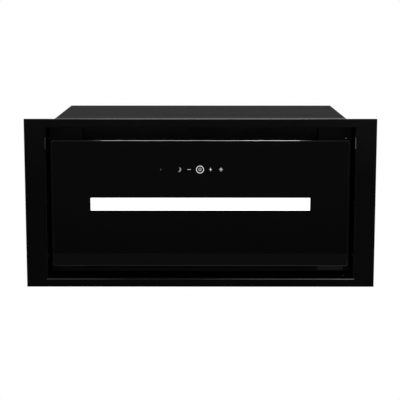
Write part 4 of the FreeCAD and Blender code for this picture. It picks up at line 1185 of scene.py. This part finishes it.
def makeClipRivets():
    values = clipValues
    dome = bmesh.new()
    turned(dome, values["rings"], 20)
    places = []
    for side in (-1, 1):
        lean = Matrix.Rotation(-side * math.radians(values["lean"]), 4, "Y")
        for y in values["y"]:
            place = stood(side * (sideX + values["off"]), y, values["z"], "x", side)
            middle = Matrix.Translation(place.translation)
            places.append(middle @ lean @ middle.inverted() @ place)
    steel = drawnMetal("clipRivetSteel", tone=0.35)
    newPiece("clip_rivets", scatter(dome, places), steel, smooth=True)


makeClipRivets()
print("gland, spigot ribs and clip rivets in place")


# Pale floor under the camera, white backdrop behind the hood, lamps and world. In metres.
stageValues = {
    "floor": -2.4, "floorRadius": 18, "floorTone": 0.8, "backdrop": (1.1, 3.2), "half": 1.65,
    "world": 0.6, "aim": (0, 0, 0.15),
    "polished": ("glass_pane", "corner_clip_left", "corner_clip_right", "stud_ball"),
}
lampValues = {
    "key": {"place": (0.0, -2.6, -0.1), "size": (0.9, 2.2), "level": 7.0},
    "gleam": {"place": (0.0, -2.55, -0.1), "size": (0.815, 1.3), "level": 60.0},
    "gleamRight": {"place": (0.28, -2.5, -0.1), "size": (0.235, 1.3), "level": 60.0},
    "left": {"place": (-2.4, 0.8, 1.3), "size": (1.4, 1.4), "level": 5.0},
    "right": {"place": (2.6, -0.4, 1.0), "size": (1.4, 1.4), "level": 5.0},
    "rear": {"place": (0.4, 2.6, 1.2), "size": (1.6, 1.2), "level": 6.0},
}


def seenDirectly(tree):
    path = tree.nodes.new("ShaderNodeLightPath").outputs
    both = compute(tree, "MAXIMUM", path["Is Camera Ray"], path["Is Glossy Ray"])
    return compute(tree, "MAXIMUM", both, path["Is Transmission Ray"])


# White where the mask is one, and the given shader elsewhere
def whiteWhere(tree, mask, shader):
    white = addNode(tree, "Emission", {"Color": grey(1.0), "Strength": 1.0}).outputs[0]
    both = addNode(tree, "MixShader", {0: mask, 1: shader, 2: white}).outputs[0]
    feed(tree, tree.nodes["Material Output"], {"Surface": both})


def makeFloor():
    bm = bmesh.new()
    flatCircle(bm, stageValues["floorRadius"], 64)
    move(bm, bm.verts[:], 0, 0, stageValues["floor"])
    material, tree, shader = openMaterial(
        "floorPaint", {"Roughness": 0.9, "Specular IOR Level": 0.1})
    cloud = noise(tree, objectPlace(tree), scale=3.0)
    tone = stageValues["floorTone"]
    feed(tree, shader, {"Base Color": blendColour(tree, cloud, grey(tone * 0.98), grey(tone))})
    path = tree.nodes.new("ShaderNodeLightPath").outputs
    whiteWhere(tree, path["Is Camera Ray"], shader.outputs[0])
    return newObject("floor", bm, material)


def makeBackdrop():
    bm = bmesh.new()
    bmesh.ops.create_grid(bm, x_segments=1, y_segments=1, size=stageValues["half"])
    move(bm, bm.verts[:], 0, *stageValues["backdrop"])
    material, tree, shader = openMaterial("backdropPaint")
    tree.nodes.remove(shader)
    clear = tree.nodes.new("ShaderNodeBsdfTransparent").outputs[0]
    whiteWhere(tree, seenDirectly(tree), clear)
    return newObject("backdrop", bm, material)


def makeWorld():
    world = bpy.data.worlds.new("studio")
    world.use_nodes = True
    tree = world.node_tree
    feed(tree, tree.nodes["Background"], {"Color": blendColour(
        tree, seenDirectly(tree), grey(stageValues["world"]), grey(1.0))})
    scene.world = world


def makeLamps():
    polished = bpy.data.collections.new("polished")
    for name in stageValues["polished"]:
        polished.objects.link(bpy.data.objects[name])
    for name, values in lampValues.items():
        lamp = bpy.data.lights.new(name + "Lamp", "AREA")
        lamp.shape = "RECTANGLE"
        lamp.size, lamp.size_y = values["size"]
        lamp.energy = values["level"] * math.pi * lamp.size * lamp.size_y
        holder = bpy.data.objects.new(name + "Lamp", lamp)
        holder.location = values["place"]
        toward = Vector(stageValues["aim"]) - Vector(values["place"])
        holder.rotation_euler = toward.to_track_quat("-Z", "Y").to_euler()
        if name.startswith("gleam"):  # only shows as a line in the polished edges seen from below
            holder.visible_diffuse = False
            holder.light_linking.receiver_collection = polished
        scene.collection.objects.link(holder)


makeFloor()
makeBackdrop()
makeWorld()
makeLamps()
print("stage lit")
